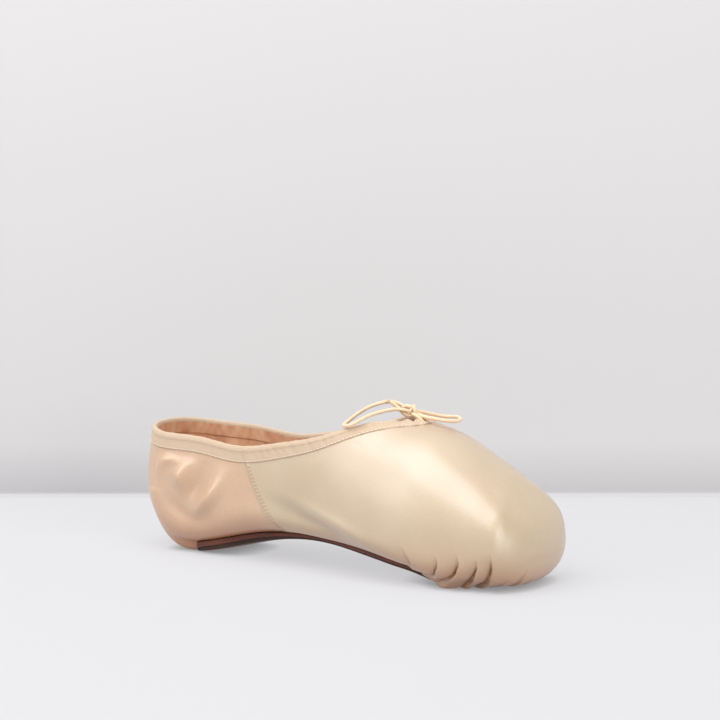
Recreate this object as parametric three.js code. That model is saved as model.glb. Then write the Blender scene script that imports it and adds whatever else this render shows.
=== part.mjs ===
// Pointe shoe on a straight last: lasted satin upper, drawstring binding, leather outsole, inner sole
// and the bow of the drawstring. Millimetres, +Z up, toe along +X, floor at z = 0, heel behind.
import * as THREE from 'three';
import { mergeVertices } from 'three/addons/utils/BufferGeometryUtils.js';

// Driving sizes of the last
const LENGTH = 230;
const BALL_WIDTH = 78;
const INSTEP_HEIGHT = 77;
const HEEL_HEIGHT = 64;

// Sections across the last, heel to toe. Place along the length, half width as a share of the ball
// width, then the heights of the widest line, the crown and the keel as shares of the instep height,
// and how square the curve is over and under the widest line. Over the open collar the crown is the
// height at which the leaning sides would meet.
const SECTIONS = [
  { at: 0.000, wide: 0.343, waist: 0.420, crown: 1.450, keel: 0.220, over: 2.20, under: 1.7 },
  { at: 0.096, wide: 0.353, waist: 0.400, crown: 1.360, keel: 0.070, over: 2.20, under: 4.1 },
  { at: 0.196, wide: 0.360, waist: 0.370, crown: 1.285, keel: 0.078, over: 2.20, under: 4.4 },
  { at: 0.326, wide: 0.367, waist: 0.395, crown: 1.235, keel: 0.158, over: 2.20, under: 2.9 },
  { at: 0.435, wide: 0.384, waist: 0.420, crown: 1.187, keel: 0.193, over: 2.20, under: 3.3 },
  { at: 0.543, wide: 0.436, waist: 0.390, crown: 1.125, keel: 0.176, over: 2.20, under: 3.2 },
  { at: 0.652, wide: 0.487, waist: 0.330, crown: 0.990, keel: 0.130, over: 2.25, under: 2.7 },
  { at: 0.761, wide: 0.502, waist: 0.295, crown: 0.898, keel: 0.085, over: 2.30, under: 3.9 },
  { at: 0.815, wide: 0.487, waist: 0.283, crown: 0.816, keel: 0.040, over: 2.30, under: 4.2 },
  { at: 0.870, wide: 0.463, waist: 0.280, crown: 0.718, keel: 0.023, over: 2.35, under: 3.7 },
  { at: 1.000, wide: 0.409, waist: 0.290, crown: 0.487, keel: 0.012, over: 2.40, under: 2.0 },
];

// Topline from the back of the heel over the side dip to the throat: rise from the heel height to
// the instep height, so 0 is the heel's height and 1 the instep's
const TOPLINE = [
  { at: -0.022, rise: -0.04 },
  { at: 0.087, rise: -0.36 },
  { at: 0.196, rise: -0.43 },
  { at: 0.296, rise: -0.62 },
  { at: 0.400, rise: -0.37 },
  { at: 0.530, rise: 0.15 },
  { at: 0.640, rise: 0.74 },
  { at: 0.687, rise: 0.75 },
];

// Side view of the heel's back and of the toe's front: height, and distance in from the ends
const HEEL_BACK = [
  { high: 0, cut: 6.2 },
  { high: 7, cut: 3.3 },
  { high: 17, cut: 2.6 },
  { high: 29, cut: 0.4 },
  { high: 42, cut: -0.2 },
  { high: 57, cut: 1.0 },
  { high: 72, cut: 2.6 },
  { high: 116, cut: 8.0 },
];
const TOE_FRONT = [
  { high: 0, cut: -0.3 },
  { high: 17, cut: 0.3 },
  { high: 42, cut: 5.3 },
  { high: 116, cut: 34.0 },
];
const HEEL_ROUND = { depth: 25, square: 2.15 };
const TOE_ROUND = { depth: 26, square: 4.4 };

// Outline of the outsole: place along the length and half width, with its rounded ends
const OUTSOLE_LINE = [
  { at: 0.096, half: 16.5 },
  { at: 0.196, half: 20.0 },
  { at: 0.326, half: 17.5 },
  { at: 0.457, half: 16.5 },
  { at: 0.587, half: 21.0 },
  { at: 0.717, half: 27.0 },
  { at: 0.804, half: 26.0 },
  { at: 0.878, half: 21.0 },
];
const OUTSOLE_ENDS = { heel: 16, toe: 20, square: 2.3 };
// Leather thickness at the heel, in the waist and under the forefoot, and the scored step of its edge
const OUTSOLE_THICK = [
  { at: 0.10, thick: 4.4 },
  { at: 0.30, thick: 4.2 },
  { at: 0.45, thick: 2.6 },
  { at: 0.60, thick: 2.6 },
  { at: 0.80, thick: 3.0 },
  { at: 0.90, thick: 2.6 },
];
const EDGE_STEP = 0.8;
const EDGE_SHARE = 0.55;

// How far the outsole covers the turned-in margin of the upper
const MARGIN = 5;
// How much longer and wider than the outsole the inner sole is, and its thickness
const INNER_SOLE = { wider: 1.5, heel: 7, toe: 6, thick: 1.6 };

// Walls: soft quarters, stiff block at the toe, and the vamp's edge lying proud on the quarter
const WALL_QUARTER = 1.4;
const WALL_BLOCK = 2.6;
const BLOCK_FROM = 120;
const BLOCK_TO = 165;
const VAMP_PROUD = 0.4;
const SEAT_GAP = 0.3;
const SOLE_GAP = 0.5;

// Binding: folded tape over the topline with the drawstring in its fold, narrower from the side seam
// to the throat, where the drawstring gathers it
const BINDING = { width: 6.4, throat: 4.6, tape: 0.9, edge: 0.6, rise: 2.0 };
const GATHERED = { from: 0.45, to: 0.75 };

// Where the side seam crosses the sole's line, the widest line and the topline, as shares of their
// lengths from the back, and the share of the columns that lie behind it
const SEAM = { foot: 0.405, middle: 0.365, top: 0.455, column: 0.40, lap: 0.004 };

// Columns from heel to throat on one side, rows from sole to binding, closer together at the sole
const QUARTER_COLUMNS = 14;
const VAMP_COLUMNS = 23;
const ROWS = 14;
const ROW_GROWTH = 1.35;

// Drawstring
const CORD = 1.8;
const KNOT = { at: [154.0, -0.3, 78.7], half: [3.2, 3.4, 3.1] };
const HEEL_LOOP = [
  [149.4, -0.2, 80.5], [145.5, -0.4, 82.0], [142.7, -2.7, 82.7], [140.5, -7.2, 82.3],
  [137.0, -11.4, 80.8], [132.6, -14.4, 77.8], [129.4, -20.4, 73.5], [130.7, -24.7, 72.6],
  [135.1, -25.9, 73.1], [139.3, -22.9, 75.9], [141.5, -17.2, 77.7], [144.6, -12.3, 79.0],
  [148.4, -8.4, 79.9], [151.4, -4.5, 79.5],
];
const TOE_LOOP = [
  [157.7, 0.1, 76.9], [161.1, -0.5, 76.4], [164.8, -0.1, 75.9], [168.8, 1.7, 75.2],
  [171.9, 4.4, 74.6], [174.2, 8.6, 74.2], [173.4, 13.0, 74.7], [169.6, 15.7, 75.2],
  [164.9, 15.4, 74.9], [161.5, 13.3, 75.4], [158.6, 9.9, 76.4], [156.8, 6.3, 77.4],
  [155.5, 4.0, 78.0],
];
const TAIL = [[148.6, 2.6, 80.4], [146.2, 2.6, 82.2], [143.7, 2.0, 83.2], [141.2, 0.8, 83.3]];

const ORIGIN_X = LENGTH / 2;

const COLOURS = {
  satin: 0xe2cdb2,
  binding: 0xebd0b4,
  leather: 0x7a4a3c,
  lining: 0xd8a685,
  cord: 0xe6c79e,
};

// Natural cubic spline through a table's rows, level beyond its ends
function spline(rows, from, to) {
  const xs = rows.map(from);
  const ys = rows.map(to);
  const last = xs.length - 1;
  const bend = new Array(last + 1).fill(0);
  const lead = new Array(last + 1).fill(0);
  for (let i = 1; i < last; i += 1) {
    const before = xs[i] - xs[i - 1];
    const after = xs[i + 1] - xs[i];
    const pull = 6 * ((ys[i + 1] - ys[i]) / after - (ys[i] - ys[i - 1]) / before);
    const pivot = 2 * (before + after) - before * lead[i - 1];
    lead[i] = after / pivot;
    bend[i] = (pull - before * bend[i - 1]) / pivot;
  }
  for (let i = last - 1; i > 0; i -= 1) bend[i] -= lead[i] * bend[i + 1];
  return (place) => {
    const x = Math.min(Math.max(place, xs[0]), xs[last]);
    let i = 0;
    while (i < last - 1 && x > xs[i + 1]) i += 1;
    const span = xs[i + 1] - xs[i];
    const a = (xs[i + 1] - x) / span;
    const b = (x - xs[i]) / span;
    const curve = ((a ** 3 - a) * bend[i] + (b ** 3 - b) * bend[i + 1]) * span * span / 6;
    return a * ys[i] + b * ys[i + 1] + curve;
  };
}

function smooth(low, high, value) {
  const t = Math.min(Math.max((value - low) / (high - low), 0), 1);
  return t * t * (3 - 2 * t);
}

const place = (row) => row.at * LENGTH;
const halfWidth = spline(SECTIONS, place, (row) => row.wide * BALL_WIDTH);
const waistHeight = spline(SECTIONS, place, (row) => row.waist * INSTEP_HEIGHT);
const crownHeight = spline(SECTIONS, place, (row) => row.crown * INSTEP_HEIGHT);
const keelHeight = spline(SECTIONS, place, (row) => row.keel * INSTEP_HEIGHT);
const squareOver = spline(SECTIONS, place, (row) => row.over);
const squareUnder = spline(SECTIONS, place, (row) => row.under);
const toplineHeight = spline(TOPLINE, place, (row) => HEEL_HEIGHT + row.rise * (INSTEP_HEIGHT - HEEL_HEIGHT));
const heelBack = spline(HEEL_BACK, (row) => row.high, (row) => row.cut);
const toeFront = spline(TOE_FRONT, (row) => row.high, (row) => LENGTH - row.cut);
const outsoleHalf = spline(OUTSOLE_LINE, place, (row) => row.half);
const outsoleThick = spline(OUTSOLE_THICK, place, (row) => row.thick);

// What a place in the side view leaves for the width: 1 on the axis, 0 on the side view's outline
function room(x, z) {
  const waist = waistHeight(x);
  const over = z >= waist;
  const share = over ? (z - waist) / (crownHeight(x) - waist) : (waist - z) / (waist - keelHeight(x));
  const back = Math.max(0, (heelBack(z) + HEEL_ROUND.depth - x) / HEEL_ROUND.depth);
  const front = Math.max(0, (x - toeFront(z) + TOE_ROUND.depth) / TOE_ROUND.depth);
  const power = over ? squareOver(x) : squareUnder(x);
  return { power, left: 1 - share ** power - back ** HEEL_ROUND.square - front ** TOE_ROUND.square };
}

// The last as one form: above 0 inside, 0 on its surface, below 0 outside
function form(x, y, z) {
  const { power, left } = room(x, z);
  return left - (Math.abs(y) / halfWidth(x)) ** power;
}

function widthAt(x, z) {
  const { power, left } = room(x, z);
  return halfWidth(x) * Math.max(0, left) ** (1 / power);
}

// Outward normal of the last's surface
function normalAt(p) {
  const step = 0.01;
  return new THREE.Vector3(
    form(p.x - step, p.y, p.z) - form(p.x + step, p.y, p.z),
    form(p.x, p.y - step, p.z) - form(p.x, p.y + step, p.z),
    form(p.x, p.y, p.z - step) - form(p.x, p.y, p.z + step),
  ).normalize();
}

// Halves the stretch between an inside and an outside value until they meet
function meet(inside, outside, isInside) {
  let near = inside;
  let far = outside;
  for (let i = 0; i < 32; i += 1) {
    const middle = (near + far) / 2;
    if (isInside(middle)) near = middle;
    else far = middle;
  }
  return (near + far) / 2;
}

function undersideAt(x, y) {
  return meet(waistHeight(x), -MARGIN, (z) => form(x, y, z) > 0);
}

// Points on a polyline at shares of its length
function lengthsOf(points) {
  const sums = [0];
  for (let i = 1; i < points.length; i += 1) sums.push(sums[i - 1] + points[i].distanceTo(points[i - 1]));
  return sums;
}

function pointAlong(points, sums, share) {
  const want = share * sums[sums.length - 1];
  let i = 1;
  while (i < sums.length - 1 && sums[i] < want) i += 1;
  const part = (want - sums[i - 1]) / (sums[i] - sums[i - 1]);
  return points[i - 1].clone().lerp(points[i], part);
}

// A curve of one side, from the middle plane at the heel to the middle plane at the toe or throat
function sideCurve(start, end, pointAt) {
  const steps = 400;
  const points = [];
  for (let i = 0; i <= steps; i += 1) {
    const x = start + (end - start) * (1 - Math.cos(Math.PI * i / steps)) / 2;
    points.push(pointAt(x));
  }
  points[0].y = 0;
  points[steps].y = 0;
  const sums = lengthsOf(points);
  return (share) => pointAlong(points, sums, share);
}

function roundedEnds(x, start, end, ends) {
  const heel = Math.max(0, (start + ends.heel - x) / ends.heel);
  const toe = Math.max(0, (x - end + ends.toe) / ends.toe);
  return Math.max(0, 1 - heel ** ends.square - toe ** ends.square) ** (1 / ends.square);
}

const OUTSOLE_START = OUTSOLE_LINE[0].at * LENGTH;
const OUTSOLE_END = OUTSOLE_LINE[OUTSOLE_LINE.length - 1].at * LENGTH;
const toplineBack = meet(HEEL_ROUND.depth, -MARGIN, (x) => widthAt(x, toplineHeight(x)) > 0);
const toplineFront = meet(LENGTH / 2, LENGTH, (x) => widthAt(x, toplineHeight(x)) > 0);

const footLine = sideCurve(OUTSOLE_START + MARGIN, OUTSOLE_END - MARGIN, (x) => {
  const ends = roundedEnds(x, OUTSOLE_START + MARGIN, OUTSOLE_END - MARGIN, OUTSOLE_ENDS);
  const y = (outsoleHalf(x) - MARGIN) * ends;
  return new THREE.Vector3(x, y, undersideAt(x, y));
});
const middleLine = sideCurve(heelBack(waistHeight(0)), toeFront(waistHeight(LENGTH)), (x) => {
  const z = waistHeight(x);
  return new THREE.Vector3(x, widthAt(x, z), z);
});
const topLine = sideCurve(toplineBack, toplineFront, (x) => {
  const z = toplineHeight(x);
  return new THREE.Vector3(x, widthAt(x, z), z);
});

// Share of a line's length for a column, so that one column follows the side seam
function spread(column, seamShare) {
  if (column <= SEAM.column) return seamShare * column / SEAM.column;
  return seamShare + (1 - seamShare) * (column - SEAM.column) / (1 - SEAM.column);
}

// A column runs up the last's surface from the sole's line over the widest line to the topline
function surfaceColumn(column) {
  const foot = footLine(spread(column, SEAM.foot));
  const middle = middleLine(spread(column, SEAM.middle));
  const top = topLine(spread(column, SEAM.top));
  const spine = { back: 30, front: 178, high: 29 };
  const core = new THREE.Vector3(spine.back + column * (spine.front - spine.back), 0, spine.high);
  const aim = [foot, middle, top].map((p) => p.clone().sub(core).normalize());
  const steps = 90;
  const points = [];
  for (let i = 0; i <= steps; i += 1) {
    const t = i / steps;
    const ray = aim[0].clone().multiplyScalar((1 - t) * (1 - 2 * t));
    ray.addScaledVector(aim[1], 4 * t * (1 - t));
    ray.addScaledVector(aim[2], t * (2 * t - 1));
    ray.normalize();
    const reach = meet(0, LENGTH, (far) => {
      const p = core.clone().addScaledVector(ray, far);
      return form(p.x, p.y, p.z) > 0;
    });
    points.push(core.clone().addScaledVector(ray, reach));
  }
  points[0].copy(foot);
  points[steps].copy(top);
  const sums = lengthsOf(points);
  return { length: sums[steps], at: (share) => pointAlong(points, sums, share) };
}

function wallAt(p, below) {
  const along = smooth(BLOCK_FROM, BLOCK_TO, p.x);
  const down = smooth(BINDING.width, 4 * BINDING.width, below);
  return WALL_QUARTER + (WALL_BLOCK - WALL_QUARTER) * along * down;
}

// The vamp lies proud of the quarter from the seam on, and thins to nothing under the outsole
function proudAt(column, up) {
  const fade = smooth(MARGIN, 2.5 * MARGIN, up);
  return column > SEAM.column ? VAMP_PROUD * fade : 0;
}

// Stations of one column: distance up from the sole's line, place, normal, wall and proudness
function columnStations(column) {
  const line = surfaceColumn(column);
  const nearTop = line.at(1 - 2 / line.length);
  const top = line.at(1);
  const up = top.clone().sub(nearTop).normalize();
  const normal = normalAt(top);
  const step = 0.002;
  const along = topLine(Math.min(1, spread(column, SEAM.top) + step))
    .sub(topLine(Math.max(0, spread(column, SEAM.top) - step)))
    .normalize();
  if (column === 0 || column === 1) along.set(0, 1, 0);
  const square = along.clone().cross(normal).normalize();
  if (square.dot(up) < 0) square.negate();
  const gathered = smooth(GATHERED.from, GATHERED.to, column);
  const width = BINDING.width + (BINDING.throat - BINDING.width) * gathered;
  const tape = width / Math.max(0.5, square.dot(up));
  const heights = [];
  for (let i = 0; i <= ROWS; i += 1) heights.push((line.length - tape) * (i / ROWS) ** ROW_GROWTH);
  heights.push(line.length - tape / 2, line.length);
  const stations = heights.map((height) => {
    const p = line.at(height / line.length);
    return {
      p,
      normal: normalAt(p),
      wall: wallAt(p, line.length - height),
      proud: proudAt(column, height),
    };
  });
  return { stations, square };
}

function columnList() {
  const list = [];
  for (let i = 0; i <= QUARTER_COLUMNS; i += 1) list.push(SEAM.column * i / QUARTER_COLUMNS);
  list.push(SEAM.column + SEAM.lap);
  for (let i = 1; i <= VAMP_COLUMNS; i += 1) {
    list.push(SEAM.column + SEAM.lap + (1 - SEAM.column - SEAM.lap) * i / VAMP_COLUMNS);
  }
  list[list.length - 1] = 1;
  return list;
}

const oneSide = columnList().map(columnStations);

function lifted(station, height) {
  return station.p.clone().addScaledVector(station.normal, height);
}

// Both sides as rings round the shoe: the side with +Y from heel to throat, then its mirror back
function roundTheShoe(ringOf) {
  const rings = oneSide.map(ringOf);
  const mirrored = rings
    .slice(1, -1)
    .reverse()
    .map((ring) => ring.map((p) => new THREE.Vector3(p.x, -p.y, p.z)));
  return [...rings, ...mirrored];
}

function volumeOf(positions, faces) {
  let sum = 0;
  for (let i = 0; i < faces.length; i += 3) {
    const [a, b, c] = [positions[faces[i]], positions[faces[i + 1]], positions[faces[i + 2]]];
    sum += a.dot(b.clone().cross(c));
  }
  return sum / 6;
}

// A solid through rings of equal point counts: closed round the shoe, or with a flat cap at each end,
// where the first half of a ring is joined to its second half like the rungs of a ladder
function loft(rings, closed) {
  const count = rings[0].length;
  const positions = rings.flat();
  const faces = [];
  const spans = closed ? rings.length : rings.length - 1;
  for (let i = 0; i < spans; i += 1) {
    const next = (i + 1) % rings.length;
    for (let j = 0; j < count; j += 1) {
      const k = (j + 1) % count;
      faces.push(i * count + j, next * count + j, next * count + k);
      faces.push(i * count + j, next * count + k, i * count + k);
    }
  }
  if (!closed) {
    const end = positions.length - count;
    for (let j = 0; j < count / 2 - 1; j += 1) {
      const far = count - 1 - j;
      faces.push(j, j + 1, far - 1, j, far - 1, far);
      faces.push(end + j, end + far - 1, end + j + 1, end + j, end + far, end + far - 1);
    }
  }
  if (volumeOf(positions, faces) < 0) faces.reverse();
  const geometry = new THREE.BufferGeometry().setFromPoints(positions);
  geometry.setIndex(faces);
  geometry.computeVertexNormals();
  return geometry;
}

function makeUpper() {
  return loft(roundTheShoe(({ stations }) => {
    const outer = stations.map((s) => lifted(s, s.proud));
    const inner = stations.map((s) => lifted(s, -s.wall)).reverse();
    return [...outer, ...inner];
  }), true);
}

// The tape folded over the topline: outer flap, round fold with the drawstring, inner flap
function makeBinding() {
  return loft(roundTheShoe(({ stations, square }) => {
    const [low, half, top] = stations.slice(-3);
    const out = (s, height) => lifted(s, s.proud + SEAT_GAP + height);
    const into = (s, height) => lifted(s, -s.wall - SEAT_GAP - height);
    const across = (top.proud + top.wall) / 2 + SEAT_GAP;
    const centre = lifted(top, (top.proud - top.wall) / 2);
    const fold = [45, 90, 135].map((degrees) => {
      const turn = THREE.MathUtils.degToRad(degrees);
      const side = (across + BINDING.tape) * Math.cos(turn);
      return centre.clone()
        .addScaledVector(top.normal, side)
        .addScaledVector(square, BINDING.rise * Math.sin(turn));
    });
    const cover = (p) => p.addScaledVector(square, SEAT_GAP);
    return [
      out(low, 0), out(low, BINDING.edge), out(half, BINDING.tape), out(top, BINDING.tape),
      ...fold,
      into(top, BINDING.tape), into(half, BINDING.tape), into(low, BINDING.edge), into(low, 0),
      into(half, 0), cover(into(top, 0)), cover(out(top, 0)), out(half, 0),
    ];
  }), true);
}

// Stations along a sole, closer together towards its rounded ends
function soleStations(start, end, count) {
  const list = [];
  for (let i = 0; i <= count; i += 1) {
    const turn = 0.1 + (Math.PI - 0.2) * i / count;
    list.push(start + (end - start) * (1 - Math.cos(turn)) / 2);
  }
  return list;
}

const ACROSS = [-1, -0.86, -0.7, -0.5, -0.25, 0, 0.25, 0.5, 0.7, 0.86, 1];

// Outsole with a step round its edge, cut flat where it treads
function makeOutsole() {
  const rings = soleStations(OUTSOLE_START, OUTSOLE_END, 34).map((x) => {
    const half = outsoleHalf(x) * roundedEnds(x, OUTSOLE_START, OUTSOLE_END, OUTSOLE_ENDS);
    const thick = outsoleThick(x);
    const inner = half - Math.min(EDGE_STEP, 0.25 * half);
    const topAt = (y) => {
      const normal = normalAt(new THREE.Vector3(x, y, undersideAt(x, y)));
      return undersideAt(x, y) - SOLE_GAP / Math.abs(normal.z);
    };
    const bottomAt = (y) => Math.max(0, topAt(y) - thick);
    const top = ACROSS.map((share) => new THREE.Vector3(x, share * half, topAt(share * half)));
    const bottom = ACROSS.map((share) => new THREE.Vector3(x, -share * inner, bottomAt(share * inner)));
    const step = topAt(half) - EDGE_SHARE * (topAt(half) - bottomAt(inner));
    return [
      ...top,
      new THREE.Vector3(x, half, step), new THREE.Vector3(x, inner, step),
      ...bottom,
      new THREE.Vector3(x, -inner, step), new THREE.Vector3(x, -half, step),
    ];
  });
  return loft(rings, false);
}

// Inner sole lying on the upper's turned-in margin
function makeInnerSole() {
  const start = OUTSOLE_START - INNER_SOLE.heel;
  const end = OUTSOLE_END + INNER_SOLE.toe;
  const rings = soleStations(start, end, 26).map((x) => {
    const line = outsoleHalf(x) + INNER_SOLE.wider;
    const half = line * roundedEnds(x, start, end, OUTSOLE_ENDS);
    const layer = (height) => ACROSS.map((share) => {
      const p = new THREE.Vector3(x, share * half, undersideAt(x, share * half));
      const slope = Math.abs(normalAt(p).z);
      return p.setZ(p.z + (wallAt(p, LENGTH) + SOLE_GAP + height) / slope);
    });
    return [...layer(0), ...layer(INNER_SOLE.thick).reverse()];
  });
  return loft(rings, false);
}

function bare(geometry) {
  geometry.deleteAttribute('normal');
  geometry.deleteAttribute('uv');
  const merged = mergeVertices(geometry, 1e-4);
  merged.computeVertexNormals();
  return merged;
}

function makeCord(route, steps) {
  const path = new THREE.CatmullRomCurve3(route.map((p) => new THREE.Vector3(...p)));
  const section = new THREE.Shape();
  section.absarc(0, 0, CORD / 2, 0, 2 * Math.PI);
  const settings = { steps, curveSegments: 4, bevelEnabled: false, extrudePath: path };
  return bare(new THREE.ExtrudeGeometry(section, settings));
}

// The knot as a squat lump pinched where the loops cross it
function makeKnot() {
  const geometry = bare(new THREE.SphereGeometry(1, 14, 9));
  const points = geometry.getAttribute('position');
  for (let i = 0; i < points.count; i += 1) {
    const p = new THREE.Vector3().fromBufferAttribute(points, i);
    const pinch = 1 - 0.18 * Math.exp(-((p.x / 0.3) ** 2));
    p.set(p.x, p.y * pinch, p.z * pinch).multiply(new THREE.Vector3(...KNOT.half));
    points.setXYZ(i, ...p.add(new THREE.Vector3(...KNOT.at)));
  }
  geometry.computeVertexNormals();
  return geometry;
}

function piece(name, geometry, color, roughness) {
  const material = new THREE.MeshStandardMaterial({ color, roughness, metalness: 0 });
  const mesh = new THREE.Mesh(geometry, material);
  mesh.name = name;
  return mesh;
}

const shoe = new THREE.Group();
shoe.position.x = -ORIGIN_X;
shoe.add(piece('upper', makeUpper(), COLOURS.satin, 0.45));
shoe.add(piece('binding', makeBinding(), COLOURS.binding, 0.85));
shoe.add(piece('outsole', makeOutsole(), COLOURS.leather, 0.8));
shoe.add(piece('inner_sole', makeInnerSole(), COLOURS.lining, 0.9));
shoe.add(piece('bow_knot', makeKnot(), COLOURS.cord, 0.8));
shoe.add(piece('bow_heel_loop', makeCord(HEEL_LOOP, 34), COLOURS.cord, 0.8));
shoe.add(piece('bow_toe_loop', makeCord(TOE_LOOP, 28), COLOURS.cord, 0.8));
shoe.add(piece('bow_tail', makeCord(TAIL, 6), COLOURS.cord, 0.8));

export default shoe;
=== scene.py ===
"""Satin pointe shoe: fine upper with creases and pleats, tape binding, leather sole, bow.
The form's tables are those of the part's source, in millimetres along the last from the heel."""
import math

import bmesh
import bpy
import numpy as np
from mathutils import Matrix, Vector


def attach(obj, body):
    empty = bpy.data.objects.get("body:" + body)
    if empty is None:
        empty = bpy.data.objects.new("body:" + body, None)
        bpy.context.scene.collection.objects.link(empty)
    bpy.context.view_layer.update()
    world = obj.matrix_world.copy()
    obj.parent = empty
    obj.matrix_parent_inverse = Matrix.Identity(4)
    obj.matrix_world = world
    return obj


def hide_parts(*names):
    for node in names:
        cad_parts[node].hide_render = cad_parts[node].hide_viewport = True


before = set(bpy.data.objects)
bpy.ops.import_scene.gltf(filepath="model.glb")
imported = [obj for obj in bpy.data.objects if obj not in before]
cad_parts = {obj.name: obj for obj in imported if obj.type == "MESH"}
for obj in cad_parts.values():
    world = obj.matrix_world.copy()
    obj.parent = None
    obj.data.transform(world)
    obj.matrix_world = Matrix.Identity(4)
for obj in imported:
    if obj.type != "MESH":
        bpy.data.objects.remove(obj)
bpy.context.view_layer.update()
scene = bpy.context.scene
scene.view_settings.view_transform = "Standard"

MM = 0.001
LENGTH, BALL_WIDTH, INSTEP_HEIGHT, HEEL_HEIGHT = 230.0, 78.0, 77.0, 64.0
ORIGIN = np.array((LENGTH / 2, 0.0, 0.0))


def placed(points):
    """Millimetres on the last to metres in the shoe's frame."""
    return (np.asarray(points, float) - ORIGIN) * MM


# Camera: low three-quarter view from the toe's side, with a long lens
AZIMUTH, ELEVATION = math.radians(34.0), math.radians(9.6)
DISTANCE, LENS, SENSOR, PICTURE = 1.25, 126.0, 36.0, 720
CENTRE = Vector((0.0, 0.0, 0.0315))
CENTRE_SEEN = (345.5, 499.5)  # the photo's pixel that CENTRE falls on


def set_camera():
    back = Vector((
        math.sin(AZIMUTH) * math.cos(ELEVATION),
        -math.cos(AZIMUTH) * math.cos(ELEVATION),
        math.sin(ELEVATION),
    ))
    right = Vector((math.cos(AZIMUTH), math.sin(AZIMUTH), 0.0))
    up = back.cross(right)
    pixel = DISTANCE * SENSOR / (LENS * PICTURE)
    aim = CENTRE - right * (CENTRE_SEEN[0] - PICTURE / 2) * pixel
    aim += up * (CENTRE_SEEN[1] - PICTURE / 2) * pixel
    camera = bpy.data.objects.new("camera", bpy.data.cameras.new("camera"))
    camera.data.lens, camera.data.sensor_width = LENS, SENSOR
    scene.collection.objects.link(camera)
    camera.location = CENTRE + back * DISTANCE
    camera.rotation_mode = "QUATERNION"
    camera.rotation_quaternion = (aim - camera.location).to_track_quat("-Z", "Y")
    scene.camera = camera


set_camera()


# Form of the last: the tables and curves of the part's source
SECTIONS = np.array((  # place, half width, widest line, crown, keel, squareness over and under
    (0.000, 0.343, 0.420, 1.450, 0.220, 2.20, 1.7),
    (0.096, 0.353, 0.400, 1.360, 0.070, 2.20, 4.1),
    (0.196, 0.360, 0.370, 1.285, 0.078, 2.20, 4.4),
    (0.326, 0.367, 0.395, 1.235, 0.158, 2.20, 2.9),
    (0.435, 0.384, 0.420, 1.187, 0.193, 2.20, 3.3),
    (0.543, 0.436, 0.390, 1.125, 0.176, 2.20, 3.2),
    (0.652, 0.487, 0.330, 0.990, 0.130, 2.25, 2.7),
    (0.761, 0.502, 0.295, 0.898, 0.085, 2.30, 3.9),
    (0.815, 0.487, 0.283, 0.816, 0.040, 2.30, 4.2),
    (0.870, 0.463, 0.280, 0.718, 0.023, 2.35, 3.7),
    (1.000, 0.409, 0.290, 0.487, 0.012, 2.40, 2.0),
)).T
TOPLINE = np.array((  # place, share of the rise from the heel's height to the instep's
    (-0.022, -0.04), (0.087, -0.36), (0.196, -0.43), (0.296, -0.62),
    (0.400, -0.37), (0.530, 0.15), (0.640, 0.74), (0.687, 0.75),
)).T
HEEL_BACK = np.array((  # height, how far in from the heel's end the outline stands
    (0, 6.2), (7, 3.3), (17, 2.6), (29, 0.4), (42, -0.2), (57, 1.0), (72, 2.6), (116, 8.0),
)).T
TOE_FRONT = np.array((  # height, how far in from the toe's end the outline stands
    (0, -0.3), (17, 0.3), (42, 5.3), (116, 34.0),
)).T
HEEL_ROUND, TOE_ROUND = (25, 2.15), (26, 4.4)  # reach and power of each end's rounding
OUTSOLE_LINE = np.array((  # place, half width in millimetres
    (0.096, 16.5), (0.196, 20.0), (0.326, 17.5), (0.457, 16.5),
    (0.587, 21.0), (0.717, 27.0), (0.804, 26.0), (0.878, 21.0),
)).T
OUTSOLE_THICK = np.array((  # place, thickness in millimetres
    (0.10, 4.4), (0.30, 4.2), (0.45, 2.6), (0.60, 2.6), (0.80, 3.0), (0.90, 2.6),
)).T
HEEL_END, TOE_END, END_SQUARE = 16, 20, 2.3  # reach of the soles' rounded ends, and their power
# Millimetres, and the columns between which the gathered tape grows narrower
MARGIN, TAPE_WIDTH, TAPE_THROAT, GATHER_FROM, GATHER_TO = 5.0, 6.4, 4.6, 0.45, 0.75
WALL_QUARTER, WALL_BLOCK, BLOCK_FROM, BLOCK_TO, WALL_THIN_TO = 1.4, 2.6, 120, 165, 4 * TAPE_WIDTH
VAMP_PROUD, PROUD_FROM, PROUD_TO, SOLE_GAP = 0.4, MARGIN, 2.5 * MARGIN, 0.5
# Share of each line's length at the side seam, the seam's column, and its lap's width in columns
SEAM_FOOT, SEAM_MIDDLE, SEAM_TOP, SEAM_COLUMN, SEAM_LAP = 0.405, 0.365, 0.455, 0.40, 0.004
SPINE_BACK, SPINE_FRONT, SPINE_HIGH = 30, 178, 29  # the line inside the last that the columns fan out from
HALVINGS, CURVE_POINTS, COLUMN_POINTS = 32, 401, 91  # how finely lines on the last are worked out
JUST_BELOW = 2  # millimetres below the rim from which its upward direction is taken
LEAST_SQUARE = 0.5  # where the tape runs aslant its width is at most doubled


def spline(places, values):
    """Natural cubic spline through a table, level beyond its ends."""
    xs, ys = np.array(places, float), np.array(values, float)
    gap, last = np.diff(xs), len(xs) - 1
    pull = np.zeros(last + 1)
    pull[1:-1] = 6 * np.diff(np.diff(ys) / gap)
    hold = np.eye(last + 1)
    for i in range(1, last):
        hold[i, i - 1:i + 2] = gap[i - 1], 2 * (gap[i - 1] + gap[i]), gap[i]
    bend = np.linalg.solve(hold, pull)

    def at(wanted):
        x = np.clip(wanted, xs[0], xs[-1])
        i = np.clip(np.searchsorted(xs, x, side="right") - 1, 0, last - 1)
        a = (xs[i + 1] - x) / gap[i]
        b = 1 - a
        curve = ((a**3 - a) * bend[i] + (b**3 - b) * bend[i + 1]) * gap[i]**2 / 6
        return a * ys[i] + b * ys[i + 1] + curve
    return at


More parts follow.
